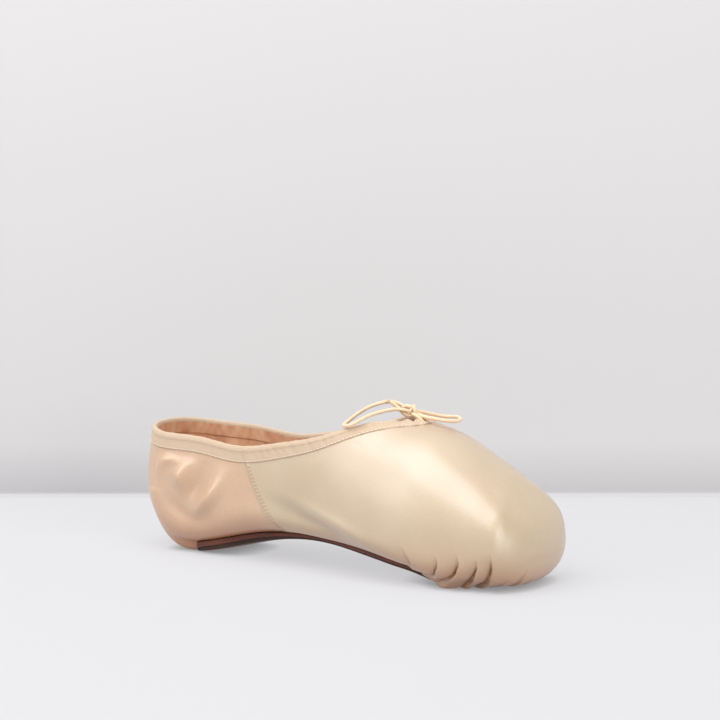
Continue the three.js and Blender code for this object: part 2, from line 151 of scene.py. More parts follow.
def smooth(low, high, value):
    t = np.clip((value - low) / (high - low), 0, 1)
    return t * t * (3 - 2 * t)


half_width = spline(SECTIONS[0] * LENGTH, SECTIONS[1] * BALL_WIDTH)
waist_height, crown_height, keel_height = (
    spline(SECTIONS[0] * LENGTH, row * INSTEP_HEIGHT) for row in SECTIONS[2:5]
)
square_over, square_under = (spline(SECTIONS[0] * LENGTH, row) for row in SECTIONS[5:7])
topline_height = spline(TOPLINE[0] * LENGTH, HEEL_HEIGHT + TOPLINE[1] * (INSTEP_HEIGHT - HEEL_HEIGHT))
heel_back = spline(*HEEL_BACK)
toe_front = spline(TOE_FRONT[0], LENGTH - TOE_FRONT[1])
outsole_half = spline(OUTSOLE_LINE[0] * LENGTH, OUTSOLE_LINE[1])
outsole_thick = spline(OUTSOLE_THICK[0] * LENGTH, OUTSOLE_THICK[1])
OUTSOLE_START, OUTSOLE_END = OUTSOLE_LINE[0, 0] * LENGTH, OUTSOLE_LINE[0, -1] * LENGTH


def room(x, z):
    """What a place in the side view leaves for the width: 1 on the axis, 0 on the outline."""
    waist = waist_height(x)
    over = z >= waist
    share = np.where(over, (z - waist) / (crown_height(x) - waist), (waist - z) / (waist - keel_height(x)))
    back = np.maximum(0, (heel_back(z) + HEEL_ROUND[0] - x) / HEEL_ROUND[0])
    front = np.maximum(0, (x - toe_front(z) + TOE_ROUND[0]) / TOE_ROUND[0])
    power = np.where(over, square_over(x), square_under(x))
    return power, 1 - share**power - back**HEEL_ROUND[1] - front**TOE_ROUND[1]


def form(p):
    """Above 0 inside the last, 0 on its surface."""
    power, left = room(p[..., 0], p[..., 2])
    return left - (np.abs(p[..., 1]) / half_width(p[..., 0]))**power


def width_at(x, z):
    power, left = room(x, z)
    return half_width(x) * np.maximum(0, left)**(1 / power)


def normal_at(p):
    step = 0.01
    slopes = np.stack([form(p - step * axis) - form(p + step * axis) for axis in np.eye(3)], -1)
    return slopes / np.linalg.norm(slopes, axis=-1, keepdims=True)


def meet(inside, outside, is_inside):
    """Halves the stretch between inside and outside values until they meet."""
    near, far = np.array(inside, float), np.array(outside, float)
    for _ in range(HALVINGS):
        middle = (near + far) / 2
        within = is_inside(middle)
        near, far = np.where(within, middle, near), np.where(within, far, middle)
    return (near + far) / 2


def underside_at(x, y):
    return meet(waist_height(x), np.full_like(x, -MARGIN), lambda z: form(np.stack([x, y, z], -1)) > 0)


def rounded_ends(x, start, end):
    heel = np.maximum(0, (start + HEEL_END - x) / HEEL_END)
    toe = np.maximum(0, (x - end + TOE_END) / TOE_END)
    return np.maximum(0, 1 - heel**END_SQUARE - toe**END_SQUARE)**(1 / END_SQUARE)


def lengths(points, axis=0):
    """Length run along a line of points, from 0."""
    steps = np.linalg.norm(np.diff(points, axis=axis), axis=-1)
    run = np.cumsum(steps, axis=axis)
    return np.concatenate([np.zeros_like(run.take([0], axis=axis)), run], axis=axis)


def along(points, run, wanted):
    return np.stack([np.interp(wanted, run, points[:, k]) for k in range(3)], -1)


def eased(start, end, count, trim=0.0):
    """Places from start to end, closer together at both, short of them by trim radians of the half turn."""
    return start + (end - start) * (1 - np.cos(np.linspace(trim, np.pi - trim, count))) / 2


def side_curve(start, end, point_at):
    """A curve of one side, from the middle plane at the heel to that at the toe, by share of its length."""
    points = point_at(eased(start, end, CURVE_POINTS))
    points[[0, -1], 1] = 0
    run = lengths(points)
    return lambda share: along(points, run, share * run[-1])


def foot_at(x):
    y = (outsole_half(x) - MARGIN) * rounded_ends(x, OUTSOLE_START + MARGIN, OUTSOLE_END - MARGIN)
    return np.stack([x, y, underside_at(x, y)], -1)


def line_at(height):
    return lambda x: np.stack([x, width_at(x, height(x)), height(x)], -1)


topline_back = meet(HEEL_ROUND[0], -MARGIN, lambda x: width_at(x, topline_height(x)) > 0)
topline_front = meet(LENGTH / 2, LENGTH, lambda x: width_at(x, topline_height(x)) > 0)
foot_line = side_curve(OUTSOLE_START + MARGIN, OUTSOLE_END - MARGIN, foot_at)
middle_line = side_curve(heel_back(waist_height(0)), toe_front(waist_height(LENGTH)), line_at(waist_height))
top_line = side_curve(topline_back, topline_front, line_at(topline_height))


def spread(column, seam):
    """Share of a line's length for a column, so that one column follows the side seam."""
    behind = seam * column / SEAM_COLUMN
    before = seam + (1 - seam) * (column - SEAM_COLUMN) / (1 - SEAM_COLUMN)
    return np.where(column <= SEAM_COLUMN, behind, before)


def surface_columns(column):
    """Points up the last for each column, from the sole's line over the widest line to the topline."""
    foot = foot_line(spread(column, SEAM_FOOT))
    middle = middle_line(spread(column, SEAM_MIDDLE))
    top = top_line(spread(column, SEAM_TOP))
    core = np.zeros_like(foot)
    core[:, 0] = SPINE_BACK + column * (SPINE_FRONT - SPINE_BACK)
    core[:, 2] = SPINE_HIGH
    low, wide, high = (
        ((p - core) / np.linalg.norm(p - core, axis=1, keepdims=True))[:, None] for p in (foot, middle, top)
    )
    t = np.linspace(0, 1, COLUMN_POINTS)[None, :, None]
    ray = low * (1 - t) * (1 - 2 * t) + wide * 4 * t * (1 - t) + high * t * (2 * t - 1)
    ray /= np.linalg.norm(ray, axis=2, keepdims=True)
    centre = core[:, None]
    zero = np.zeros(ray.shape[:2])
    reach = meet(zero, zero + LENGTH, lambda far: form(centre + ray * far[..., None]) > 0)
    points = centre + ray * reach[..., None]
    points[:, 0], points[:, -1] = foot, top
    return points, lengths(points, axis=1)


def wall_at(x, below):
    """Wall thickness: soft quarters, stiff block from the vamp on, thin again under the binding."""
    block = smooth(BLOCK_FROM, BLOCK_TO, x) * smooth(TAPE_WIDTH, WALL_THIN_TO, below)
    return WALL_QUARTER + (WALL_BLOCK - WALL_QUARTER) * block


class Side:
    """One half of the last as columns: what the upper and the binding are both laid on."""

    def __init__(self, columns):
        self.columns = columns
        self.points, self.run = surface_columns(columns)
        self.length = self.run[:, -1]
        top = self.points[:, -1]
        near_top = self.at((self.length - JUST_BELOW)[:, None])[:, 0]
        up = (top - near_top) / np.linalg.norm(top - near_top, axis=1, keepdims=True)
        step = 0.002
        share = spread(columns, SEAM_TOP)
        edge = top_line(np.minimum(1, share + step)) - top_line(np.maximum(0, share - step))
        edge[(columns == 0) | (columns == 1)] = (0, 1, 0)
        self.normal = normal_at(top)
        square = np.cross(edge, self.normal)
        square /= np.linalg.norm(square, axis=1, keepdims=True)
        self.square = square * np.where((square * up).sum(1) < 0, -1, 1)[:, None]
        width = TAPE_WIDTH + (TAPE_THROAT - TAPE_WIDTH) * smooth(GATHER_FROM, GATHER_TO, columns)
        self.tape = width / np.maximum(LEAST_SQUARE, (self.square * up).sum(1))

    def at(self, heights):
        """Places at heights up each column, one row of heights per column."""
        return np.stack([along(p, r, h) for p, r, h in zip(self.points, self.run, heights)])


# Making meshes
MERGE_WITHIN, LEAST_EDGE = 1e-6, 1e-7  # metres
CURVE_STEPS = 40  # fine steps for each point that a smooth run goes through
OFF_EVERY_CORD = (0.3, 0.2, 1.0)  # a direction that no cord starts along


def new_piece(name, bm, materials, replaced=()):
    mesh = bpy.data.meshes.new(name)
    bm.to_mesh(mesh)
    bm.free()
    mesh.shade_smooth()
    for material in materials:
        mesh.materials.append(material)
    piece = bpy.data.objects.new(name, mesh)
    scene.collection.objects.link(piece)
    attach(piece, "root")
    if replaced:
        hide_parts(*replaced)
    return piece


def bent_grid(places, cloth, kinds=None, bm=None):
    """A flat grid moved to rows of places, closed where its edges meet, with its cloth lengths as UVs.
    kinds gives each face's material."""
    lines, count = places.shape[:2]
    sheet = bmesh.new()
    layer = sheet.loops.layers.uv.new("cloth")
    bmesh.ops.create_grid(sheet, x_segments=count - 1, y_segments=lines - 1, size=1)
    for vert, point in zip(sheet.verts, placed(places).reshape(-1, 3)):
        vert.co = point
    flat = cloth.reshape(-1, 2)
    if kinds is None:
        kinds = 0
    kinds = np.broadcast_to(kinds, (lines - 1, count - 1)).ravel().tolist()
    sheet.verts.index_update()
    for kind, face in zip(kinds, sheet.faces):
        face.material_index = kind
        for loop in face.loops:
            loop[layer].uv = flat[loop.vert.index]
    bmesh.ops.remove_doubles(sheet, verts=sheet.verts, dist=MERGE_WITHIN)
    bmesh.ops.dissolve_degenerate(sheet, edges=sheet.edges, dist=LEAST_EDGE)
    if sheet.calc_volume(signed=True) < 0:
        bmesh.ops.reverse_faces(sheet, faces=sheet.faces)
    if bm is None:
        return sheet
    mesh = bpy.data.meshes.new("part")
    sheet.to_mesh(mesh)
    sheet.free()
    bm.from_mesh(mesh)
    bpy.data.meshes.remove(mesh)
    return bm


def cloth_lengths(places):
    """Lengths in millimetres round and across a grid of places, round measured a third of the way in."""
    across = lengths(places, axis=1)
    measured = places[:, places.shape[1] // 3]
    return np.stack([np.broadcast_to(lengths(measured)[:, None], across.shape), across], -1)


def through(points, count):
    """A smooth run of count places through a few points (centripetal, as the source's curves are)."""
    p = np.asarray(points, float)
    p = np.concatenate([[2 * p[0] - p[1]], p, [2 * p[-1] - p[-2]]])
    knots = np.concatenate([[0], np.cumsum(np.sqrt(np.linalg.norm(np.diff(p, axis=0), axis=1)))])
    fine = []
    for t in np.linspace(knots[1], knots[-2], CURVE_STEPS * len(points)):
        i = int(np.clip(np.searchsorted(knots, t, side="right") - 1, 1, len(p) - 3))
        quad = [p[i + k] for k in (-1, 0, 1, 2)]
        k = knots[i - 1:i + 3]
        for width in (1, 2, 3):
            quad = [
                ((k[j + width] - t) * quad[j] + (t - k[j]) * quad[j + 1]) / (k[j + width] - k[j])
                for j in range(len(quad) - 1)
            ]
        fine.append(quad[0])
    fine = np.array(fine)
    run = lengths(fine)
    return along(fine, run, np.linspace(0, run[-1], count))


def tube(route, radius, sides=12, bm=None):
    """A round cord along a route in millimetres, its ends drawn in. radius is a number or one per place."""
    route = np.asarray(route, float)
    tangent = np.gradient(route, axis=0)
    tangent /= np.linalg.norm(tangent, axis=1, keepdims=True)
    across = np.zeros_like(route)
    seed = np.cross(tangent[0], OFF_EVERY_CORD)
    for i, t in enumerate(tangent):
        seed = seed - t * (seed @ t)
        seed /= np.linalg.norm(seed)
        across[i] = seed
    third = np.cross(tangent, across)
    turn = np.linspace(0, 2 * np.pi, sides + 1)
    size = np.broadcast_to(radius, len(route))[:, None, None]
    ring = across[:, None] * np.cos(turn)[None, :, None] + third[:, None] * np.sin(turn)[None, :, None]
    places = route[:, None] + ring * size
    places[[0, -1]] = route[[0, -1], None]
    run = lengths(route)
    cloth = np.stack(np.broadcast_arrays(run[:, None], turn[None] * np.max(radius)), -1)
    return bent_grid(places, cloth, bm=bm)


# Materials
def linear(code):
    """sRGB hex to linear colour."""
    parts = [int(code[i:i + 2], 16) / 255 for i in (0, 2, 4)]
    return tuple(c / 12.92 if c <= 0.04045 else ((c + 0.055) / 1.055)**2.4 for c in parts) + (1.0,)


def node(tree, kind, inputs=None, **settings):
    """Adds a shader node; an input is a value, or another node's socket that feeds it."""
    made = tree.nodes.new("ShaderNode" + kind)
    for name, value in settings.items():
        setattr(made, name, value)
    for name, value in (inputs or {}).items():
        if isinstance(value, bpy.types.NodeSocket):
            tree.links.new(value, made.inputs[name])
        else:
            made.inputs[name].default_value = value
    return made


def new_material(name):
    material = bpy.data.materials.new(name)
    material.use_nodes = True
    tree = material.node_tree
    tree.nodes.clear()
    return material, tree


def finish_material(tree, settings):
    shader = node(tree, "BsdfPrincipled", settings)
    node(tree, "OutputMaterial", {"Surface": shader.outputs[0]})


def blotches(tree, place, scale, detail=2.0, low=0.35, high=0.65):
    """Soft patches from 0 to 1, scale in patches per unit of the place."""
    noise = node(tree, "TexNoise", {"Vector": place, "Scale": scale, "Detail": detail})
    return node(tree, "MapRange", {"Value": noise.outputs[0], "From Min": low, "From Max": high}).outputs[0]


def stretched(tree, place, scale, turn=0.0):
    return node(tree, "Mapping", {"Vector": place, "Scale": scale, "Rotation": (0, 0, turn)}).outputs[0]


def tinted(tree, share, dark, light):
    return node(tree, "MixRGB", {"Fac": share, "Color1": linear(dark), "Color2": linear(light)}).outputs[0]


def bumped(tree, height, distance, strength=1.0, normal=None):
    inputs = {"Height": height, "Distance": distance, "Strength": strength}
    if normal is not None:
        inputs["Normal"] = normal
    return node(tree, "Bump", inputs).outputs[0]


FOLD_SHADE = 0.03  # metres within which shade is painted into the cloth's colour
SHADE_SAMPLES = 2  # more would double the render's time
FLOAT_LONG, FLOAT_WIDE, TAPE_RIB, PLAIT = 2.2, 0.45, 0.9, 0.8  # millimetres, as drawn
BANDS = 3.2  # bands that a wave texture of scale 1 draws in one unit
DRILL_SCALE, TWIST_SCALE = 260.0, 900.0  # wave scales for 1.2 mm and 0.35 mm on places in metres
CLOUDS, DENTS, WEAR, SHADES = 28.0, 60.0, 140.0, 60.0  # patches per metre


def satin(name, deep, dark, light):
    """Duchess satin: long warp floats lie side by side and give a broad, soft, bright sheen. deep is the
    colour of the shade painted into its folds.
    """
    material, tree = new_material(name)
    cloth = node(tree, "UVMap", uv_map="cloth").outputs[0]
    where = node(tree, "TexCoord").outputs["Object"]
    # Floats 0.15 mm wide are too fine for the picture, so they are drawn three times as coarse
    lying = stretched(tree, cloth, (1 / FLOAT_LONG, 1 / FLOAT_WIDE, 1))
    floats = blotches(tree, lying, scale=1.0, low=0.3, high=0.7)
    soft = blotches(tree, where, CLOUDS)
    weave = node(tree, "MixRGB", {"Fac": 0.5, "Color1": soft, "Color2": floats}).outputs[0]
    normal = bumped(tree, floats, distance=0.06 * MM, strength=0.6)
    dents = blotches(tree, where, DENTS, detail=1.0, low=0.3, high=0.7)
    normal = bumped(tree, dents, distance=0.3 * MM, strength=0.2, normal=normal)
    # Painted shade: the colour turns deeper and warmer where ambient occlusion finds folds, the sole's edge
    # and the floor close by, standing in for light that goes from thread to thread in a fold
    open_air = node(tree, "AmbientOcclusion", {"Distance": FOLD_SHADE}, samples=SHADE_SAMPLES).outputs["AO"]
    share = node(tree, "MapRange", {"Value": open_air, "From Min": 0.2, "From Max": 0.9}).outputs[0]
    colour = node(tree, "MixRGB", {
        "Fac": share, "Color1": linear(deep), "Color2": tinted(tree, weave, dark, light),
    }).outputs[0]
    finish_material(tree, {
        "Base Color": colour,
        "Roughness": 0.38,
        "Specular IOR Level": 1.0,
        "Specular Tint": linear("eef5ff"),
        "Coat Weight": 0.9,
        "Coat Roughness": 0.33,
        "Normal": normal,
    })
    return material


def tape_cotton(name, dark, light):
    """Cotton twill tape: matt, with fine diagonal ribs."""
    material, tree = new_material(name)
    cloth = node(tree, "UVMap", uv_map="cloth").outputs[0]
    # Ribs 0.4 mm apart are too fine for the picture, so they are drawn about twice as coarse
    ribs = node(tree, "TexWave", {
        "Vector": stretched(tree, cloth, (1, 1, 1), math.radians(38)),
        "Scale": 1 / TAPE_RIB / BANDS, "Distortion": 1.2, "Detail": 2.0, "Detail Scale": 2.0,
    }).outputs["Fac"]
    fibre = blotches(tree, cloth, scale=1.6, detail=4.0, low=0.3, high=0.7)
    fuzz = bumped(tree, fibre, distance=0.1 * MM, strength=0.5)
    finish_material(tree, {
        "Base Color": tinted(tree, fibre, dark, light),
        "Roughness": 0.9,
        "Specular IOR Level": 0.25,
        "Sheen Weight": 0.25,
        "Sheen Roughness": 0.5,
        "Normal": bumped(tree, ribs, distance=0.12 * MM, strength=0.6, normal=fuzz),
    })
    return material


def lining_drill(name, dark, light):
    """Cotton drill lining pasted inside: matt, with ribs and pale worn patches."""
    material, tree = new_material(name)
    where = node(tree, "TexCoord").outputs["Object"]
    # Ribs 0.6 mm apart are drawn twice as coarse, and the wear is drawn out upwards
    ribs = node(tree, "TexWave", {
        "Vector": stretched(tree, where, (1, 1, 1), turn=0.5), "Scale": DRILL_SCALE, "Distortion": 1.5,
    }).outputs["Fac"]
    patches = blotches(tree, stretched(tree, where, (1, 1, 0.35)), WEAR, detail=3.0)
    worn = bumped(tree, patches, distance=0.3 * MM, strength=0.4)
    finish_material(tree, {
        "Base Color": tinted(tree, patches, dark, light),
        "Roughness": 0.92,
        "Specular IOR Level": 0.2,
        "Sheen Weight": 0.15,
        "Normal": bumped(tree, ribs, distance=0.15 * MM, strength=0.5, normal=worn),
    })
    return material


def leather(name, dark, light, grain):
    """Vegetable-tanned leather, brushed to a nap on the tread.
    grain is in spots per metre."""
    material, tree = new_material(name)
    where = node(tree, "TexCoord").outputs["Object"]
    nap = blotches(tree, where, grain, detail=5.0, low=0.3, high=0.7)
    patches = blotches(tree, where, SHADES, detail=3.0)
    tone = node(tree, "MixRGB", {
        "Fac": 0.35, "Color1": tinted(tree, patches, dark, light), "Color2": tinted(tree, nap, dark, light),
    }).outputs[0]
    finish_material(tree, {
        "Base Color": tone,
        "Roughness": 0.82,
        "Specular IOR Level": 0.3,
        "Sheen Weight": 0.1,
        "Normal": bumped(tree, nap, distance=0.2 * MM, strength=0.7),
    })
    return material


def braid(name, dark, light):
    """Braided cotton drawstring, lightly waxed: small slanted plaits, with painted shade in the grooves
    between them.
    """
    material, tree = new_material(name)
    cloth = node(tree, "UVMap", uv_map="cloth").outputs[0]
    # Plaits 0.5 mm long are drawn somewhat coarser, as waves that cross
    plaits = [
        node(tree, "TexWave", {
            "Vector": stretched(tree, cloth, (1, 1, 1), math.radians(turn)), "Scale": 1 / PLAIT / BANDS,
        }).outputs["Fac"]
        for turn in (35, -35)
    ]
    height = node(tree, "Math", {0: plaits[0], 1: plaits[1]}, operation="MULTIPLY").outputs[0]
    # Painted shade: the colour is darker where the plaits are low, in the grooves between them
    finish_material(tree, {
        "Base Color": tinted(tree, height, dark, light),
        "Roughness": 0.6,
        "Specular IOR Level": 0.4,
        "Sheen Weight": 0.2,
        "Normal": bumped(tree, height, distance=0.12 * MM, strength=0.6),
    })
    return material


def thread(name, colour):
    """Mercerised sewing thread: fine, twisted, faintly glossy."""
    material, tree = new_material(name)
    where = node(tree, "TexCoord").outputs["Object"]
    twist = node(tree, "TexWave", {"Vector": where, "Scale": TWIST_SCALE}).outputs["Fac"]
    finish_material(tree, {
        "Base Color": linear(colour),
        "Roughness": 0.5,
        "Normal": bumped(tree, twist, distance=0.05 * MM, strength=0.5),
    })
    return material


# The first colour given to each satin is the painted shade in its folds
SATIN_VAMP = satin("satin_vamp", "a87044", "b69f80", "c3af92")
# The quarter is cut from the vamp's satin; its warmer, more saturated colours are painted light, set for the
# dimmer light that reaches the quarter
SATIN_QUARTER = satin("satin_quarter", "a8683a", "bf9b79", "cdab8b")
LINING = lining_drill("lining_drill", "c4916e", "d4ad8c")
TAPE_COTTON = tape_cotton("tape_cotton", "baa38b", "c8b39b")
SUEDE = leather("sole_suede", "532f25", "744537", 900.0)
# The scored lower band of the sole's edge is given near-black colours
SCORED = leather("sole_scored_edge", "2c211e", "4a332b", 700.0)
BRAID = braid("drawstring_braid", "dcbd98", "f0dec6")
SEAM_THREAD = thread("seam_thread", "a5815f")
TAPE_THREAD = thread("tape_thread", "f8ecdc")


# Drawstring and bow: the routes are those of the part's source
CORD, KNOT_AT = 1.8, np.array((154.0, -0.3, 78.7))
HEEL_LOOP = (
    (149.4, -0.2, 80.5), (145.5, -0.4, 82.0), (142.7, -2.7, 82.7), (140.5, -7.2, 82.3),
    (137.0, -11.4, 80.8), (132.6, -14.4, 77.8), (129.4, -20.4, 73.5), (130.7, -24.7, 72.6),
    (135.1, -25.9, 73.1), (139.3, -22.9, 75.9), (141.5, -17.2, 77.7), (144.6, -12.3, 79.0),
    (148.4, -8.4, 79.9), (151.4, -4.5, 79.5),
)
TOE_LOOP = (
    (157.7, 0.1, 76.9), (161.1, -0.5, 76.4), (164.8, -0.1, 75.9), (168.8, 1.7, 75.2),
    (171.9, 4.4, 74.6), (174.2, 8.6, 74.2), (173.4, 13.0, 74.7), (169.6, 15.7, 75.2),
    (164.9, 15.4, 74.9), (161.5, 13.3, 75.4), (158.6, 9.9, 76.4), (156.8, 6.3, 77.4),
    (155.5, 4.0, 78.0),
)
BACK = np.array((math.sin(AZIMUTH), -math.cos(AZIMUTH), 0.0))
RIGHT = np.array((math.cos(AZIMUTH), math.sin(AZIMUTH), 0.0))
UP = np.array((0.0, 0.0, 1.0))


def by_knot(*points):
    """Points given from the knot's centre: right, up and towards the camera, in millimetres."""
    return KNOT_AT + np.array(points) @ np.stack([RIGHT, UP, BACK])


TAIL = by_knot(
    (-1.6, -2.3, 0.9), (-3.4, -1.6, 1.0), (-5.3, 0.1, 0.2), (-7.2, 1.9, -0.6), (-9.0, 3.4, -1.1),
    (-10.9, 4.6, -1.5),
)
WRAPS = (
    by_knot((-4.6, 1.5, -0.4), (-3.2, 2.4, 0.2), (-1.2, 2.3, 0.8), (0.8, 1.3, 0.4), (2.4, -0.6, -0.6)),
    by_knot((-2.4, -2.0, 0.8), (-1.5, -0.6, 1.2), (-0.4, 0.8, 1.0), (0.6, 1.9, 0.2), (1.4, 2.2, -1.0)),
    by_knot((-3.0, -1.2, 0.0), (-1.5, -2.2, 0.8), (0.4, -2.1, 0.6), (2.2, -1.5, 0.0)),
)
RINGS = (  # place right, lean, half height, half depth and place forward of each wrap
    (1.45, 0.45, 2.35, 1.9, 0.1),
    (0.2, -0.3, 1.7, 1.1, -0.8),
    (-1.4, 0.5, 1.5, 0.8, -0.8),
)
CASING_STRANDS = (
    (
        (154.6, -1.2, 77.4), (157.2, -1.9, 76.9), (159.6, -2.0, 75.6), (161.2, -1.7, 73.8),
        (161.4, -1.5, 72.4),
    ),
    (
        (155.0, 0.8, 77.4), (157.4, 1.3, 77.0), (159.8, 1.6, 75.7), (161.3, 1.5, 73.9),
        (161.5, 1.4, 72.4),
    ),
)
INTO_KNOT = (153.4, -0.6, 79.3), (153.9, -2.0, 78.6), (156.0, -0.4, 77.5), (154.9, 1.4, 78.5)
RING_POINTS, STRAND_POINTS, TAIL_POINTS, LOOP_POINTS = 49, 40, 36, 160
TAIL_TAPER = (0.99, 0.95, 0.85, 0.7, 0.5)
# The frayed end's fibres: how many, then millimetres, and the power by which they bend aside
FIBRES, FIBRE_SEED, FIBRE_RADIUS, FIBRE_POINTS = 36, 7, 0.08, 6
FIBRE_LEAN, FIBRE_SPREAD, FIBRE_SHORT, FIBRE_LONG, FIBRE_CURL = 0.3, 0.33, 0.6, 1.7, 1.6
FINE_SIDES, CASING_CORD_SIDES = 5, 8  # sides of the thinnest cords


def make_knot():
    """A tight knot: its wraps, the strands through them and the two that come out of the casing."""
    bm = None
    turn = np.linspace(0, 2 * np.pi, RING_POINTS)
    for place, lean, high, deep, forward in RINGS:
        right, up = place - lean * np.cos(turn), high * np.cos(turn)
        ring = np.stack([right, up, deep * np.sin(turn) + forward], -1)
        bm = tube(by_knot(*ring), CORD / 2, bm=bm)
    for route in WRAPS + CASING_STRANDS:
        tube(through(route, STRAND_POINTS), CORD / 2, bm=bm)
    return new_piece("bow_knot_wraps", bm, [BRAID], ["bow_knot"])


def make_tail():
    """The short cut end, its fibres fraying apart."""
    route = through(TAIL, TAIL_POINTS)
    radius = np.full(TAIL_POINTS, CORD / 2)
    radius[-len(TAIL_TAPER):] *= TAIL_TAPER
    bm = tube(route, radius)
    ahead = route[-1] - route[-3]
    ahead /= np.linalg.norm(ahead)
    chance = np.random.default_rng(FIBRE_SEED)
    for _ in range(FIBRES):
        lean = chance.normal(0, FIBRE_LEAN, 3)
        reach = chance.uniform(FIBRE_SHORT, FIBRE_LONG)
        root = route[-3] + chance.normal(0, FIBRE_SPREAD, 3)
        steps = np.linspace(0, reach, FIBRE_POINTS)[:, None]
        fibre = root + steps * ahead + (steps / reach)**FIBRE_CURL * lean * reach
        tube(fibre, FIBRE_RADIUS, sides=FINE_SIDES, bm=bm)
    return new_piece("bow_tail_end", bm, [BRAID], ["bow_tail"])


def make_loop(name, route, node_name):
    """A loop of the bow from the knot and back into it."""
    middle = through(route, LOOP_POINTS)
    loop = new_piece(name, tube(middle, CORD / 2), [BRAID], [node_name])
    lengths(middle)[-1] * MM
    return loop


knot = make_knot()
tail = make_tail()
make_loop("bow_loop_to_heel", (INTO_KNOT[0],) + HEEL_LOOP + (INTO_KNOT[1],), "bow_heel_loop")
make_loop("bow_loop_to_toe", (INTO_KNOT[2],) + TOE_LOOP + (INTO_KNOT[3],), "bow_toe_loop")


# Creases, read off the photo: column, and height in millimetres up the last from the sole's line
PLEATS = (
    ((0.729, 19.9), (0.717, 28.3), (0.713, 29.9)),
    ((0.796, 0.0), (0.782, 19.1), (0.768, 28.4), (0.772, 32.2)),
    ((0.838, 0.0), (0.822, 16.7), (0.810, 25.1), (0.808, 32.1), (0.812, 35.7)),
    ((0.892, 0.0), (0.872, 17.8), (0.852, 27.6), (0.846, 32.4), (0.846, 36.2)),
    ((0.922, 0.0), (0.900, 19.4), (0.878, 31.3), (0.874, 36.2), (0.872, 40.3)),
    ((0.944, 0.0), (0.930, 14.0), (0.916, 24.0), (0.912, 30.0)),
    ((0.966, 0.0), (0.955, 14.0), (0.947, 26.0), (0.944, 33.0)),
    ((0.987, 0.0), (0.982, 14.0), (0.976, 22.0), (0.974, 27.0)),
)
PLEAT_DEPTHS = (1.3, 1.8, 2.1, 2.2, 2.2, 0.5, 0.8, 0.5)
# Shares of a pleat's depth, and millimetres across it
PLEAT_RISE, PLEAT_SHARP, PLEAT_TAIL, PLEAT_LEAD = 0.35, 0.3, 5.0, 3.2
GROOVE_DEPTH, GROOVE_HALF = 0.45, 0.55
FADE_FOOT, FADE_TOP = (8, 1), (6, 5)  # how far each fade starts before a pleat's end and ends past it
TOE_CLEAR = 0.02  # columns beside the middle of the toe over which pleats fade
FAR_SEED, FAR_SHIFT, FAR_SHORT, FAR_TALL = 11, 0.007, 0.85, 1.12  # the far side's pleats differ a little
SMALL_PLEATS = 0.35, 190, 0.6, 41  # height, rate, sway and rate of the sway
SMALL_FROM, SMALL_TO, SMALL_UP, SMALL_TOP = 0.70, 0.78, 8, 17  # columns and heights over which they fade
CREASES_END = 6  # millimetres below the tape over which creases die out
FOLDS = (  # three points, half width and height of a soft ridge (or trough below 0), the side it is on
    (((0.316, 43.0), (0.278, 36.0), (0.232, 30.5)), 3.4, 3.6, "near"),
    (((0.236, 55.0), (0.217, 50.0), (0.208, 44.0)), 4.2, 3.8, "near"),
    (((0.210, 58.5), (0.180, 59.8), (0.150, 52.0)), 2.8, 1.5, "near"),
    (((0.285, 52.0), (0.255, 44.0), (0.215, 38.0)), 3.6, -1.5, "near"),
    (((0.150, 44.0), (0.180, 33.0), (0.225, 26.0)), 5.0, -1.0, "near"),
    (((0.110, 58.0), (0.120, 48.0), (0.140, 40.0)), 4.0, 0.7, "near"),
    (((0.440, 28.0), (0.510, 23.0), (0.590, 18.5)), 7.0, -2.8, "near"),
    (((0.490, 34.0), (0.560, 31.0), (0.630, 26.0)), 5.0, 0.8, "near"),
    (((0.764, 114.0), (0.765, 110.0), (0.766, 106.0)), 2.0, -0.35, "near"),
    (((0.300, 43.0), (0.262, 36.0), (0.225, 33.0)), 4.4, 1.5, "far"),
    (((0.245, 48.0), (0.200, 57.0), (0.160, 54.0)), 4.0, -1.2, "far"),
    (((0.450, 33.0), (0.510, 25.0), (0.580, 22.5)), 5.0, -1.5, "far"),
    (((0.340, 54.0), (0.346, 46.0), (0.352, 38.0)), 3.5, -0.7, "far"),
    (((0.946, 74.0), (0.903, 61.4), (0.874, 42.0)), 3.6, 0.9, "both"),
    (((0.940, 39.0), (1.000, 39.0), (1.060, 39.0)), 2.0, -0.4, "both"),
    (((0.950, 10.0), (1.000, 10.0), (1.050, 10.0)), 7.0, -1.2, "both"),
)
MEASURING_POINTS = 300
LINE_LENGTHS = [
    lengths(line(np.linspace(0, 1, MEASURING_POINTS)))[-1] for line in (foot_line, middle_line, top_line)
]
SEAM_SHARES = np.array((SEAM_FOOT, SEAM_MIDDLE, SEAM_TOP))
WIDEST_SHARE = 0.35  # how far up a column the shoe is widest


def stretch_at(column, share):
    """Millimetres round the shoe per unit of column, at a share of the column's length."""
    behind = LINE_LENGTHS * SEAM_SHARES / SEAM_COLUMN
    before = LINE_LENGTHS * (1 - SEAM_SHARES) / (1 - SEAM_COLUMN)
    marks = (0, WIDEST_SHARE, 1)
    return np.where(column <= SEAM_COLUMN, np.interp(share, marks, behind), np.interp(share, marks, before))


def fold(line, wide, high, column, height, stretch):
    """A soft ridge or trough, bent through its middle point and running out at both ends."""
    (c0, h0), (c1, h1), (c2, h2) = line
    middle_c, middle_h = (c0 + c2) / 2, (h0 + h2) / 2
    dx, dy = (c2 - c0) / 2 * stretch, (h2 - h0) / 2
    half = np.hypot(dx, dy)
    x, y = (column - middle_c) * stretch, height - middle_h
    along_it = (x * dx + y * dy) / half**2
    bend = ((c1 - middle_c) * stretch * dy - (h1 - middle_h) * dx) / half
    across = (x * dy - y * dx) / half - bend * np.clip(1 - along_it**2, -1, 1)
    return high * np.exp(-(across / wide)**2 - along_it**2)


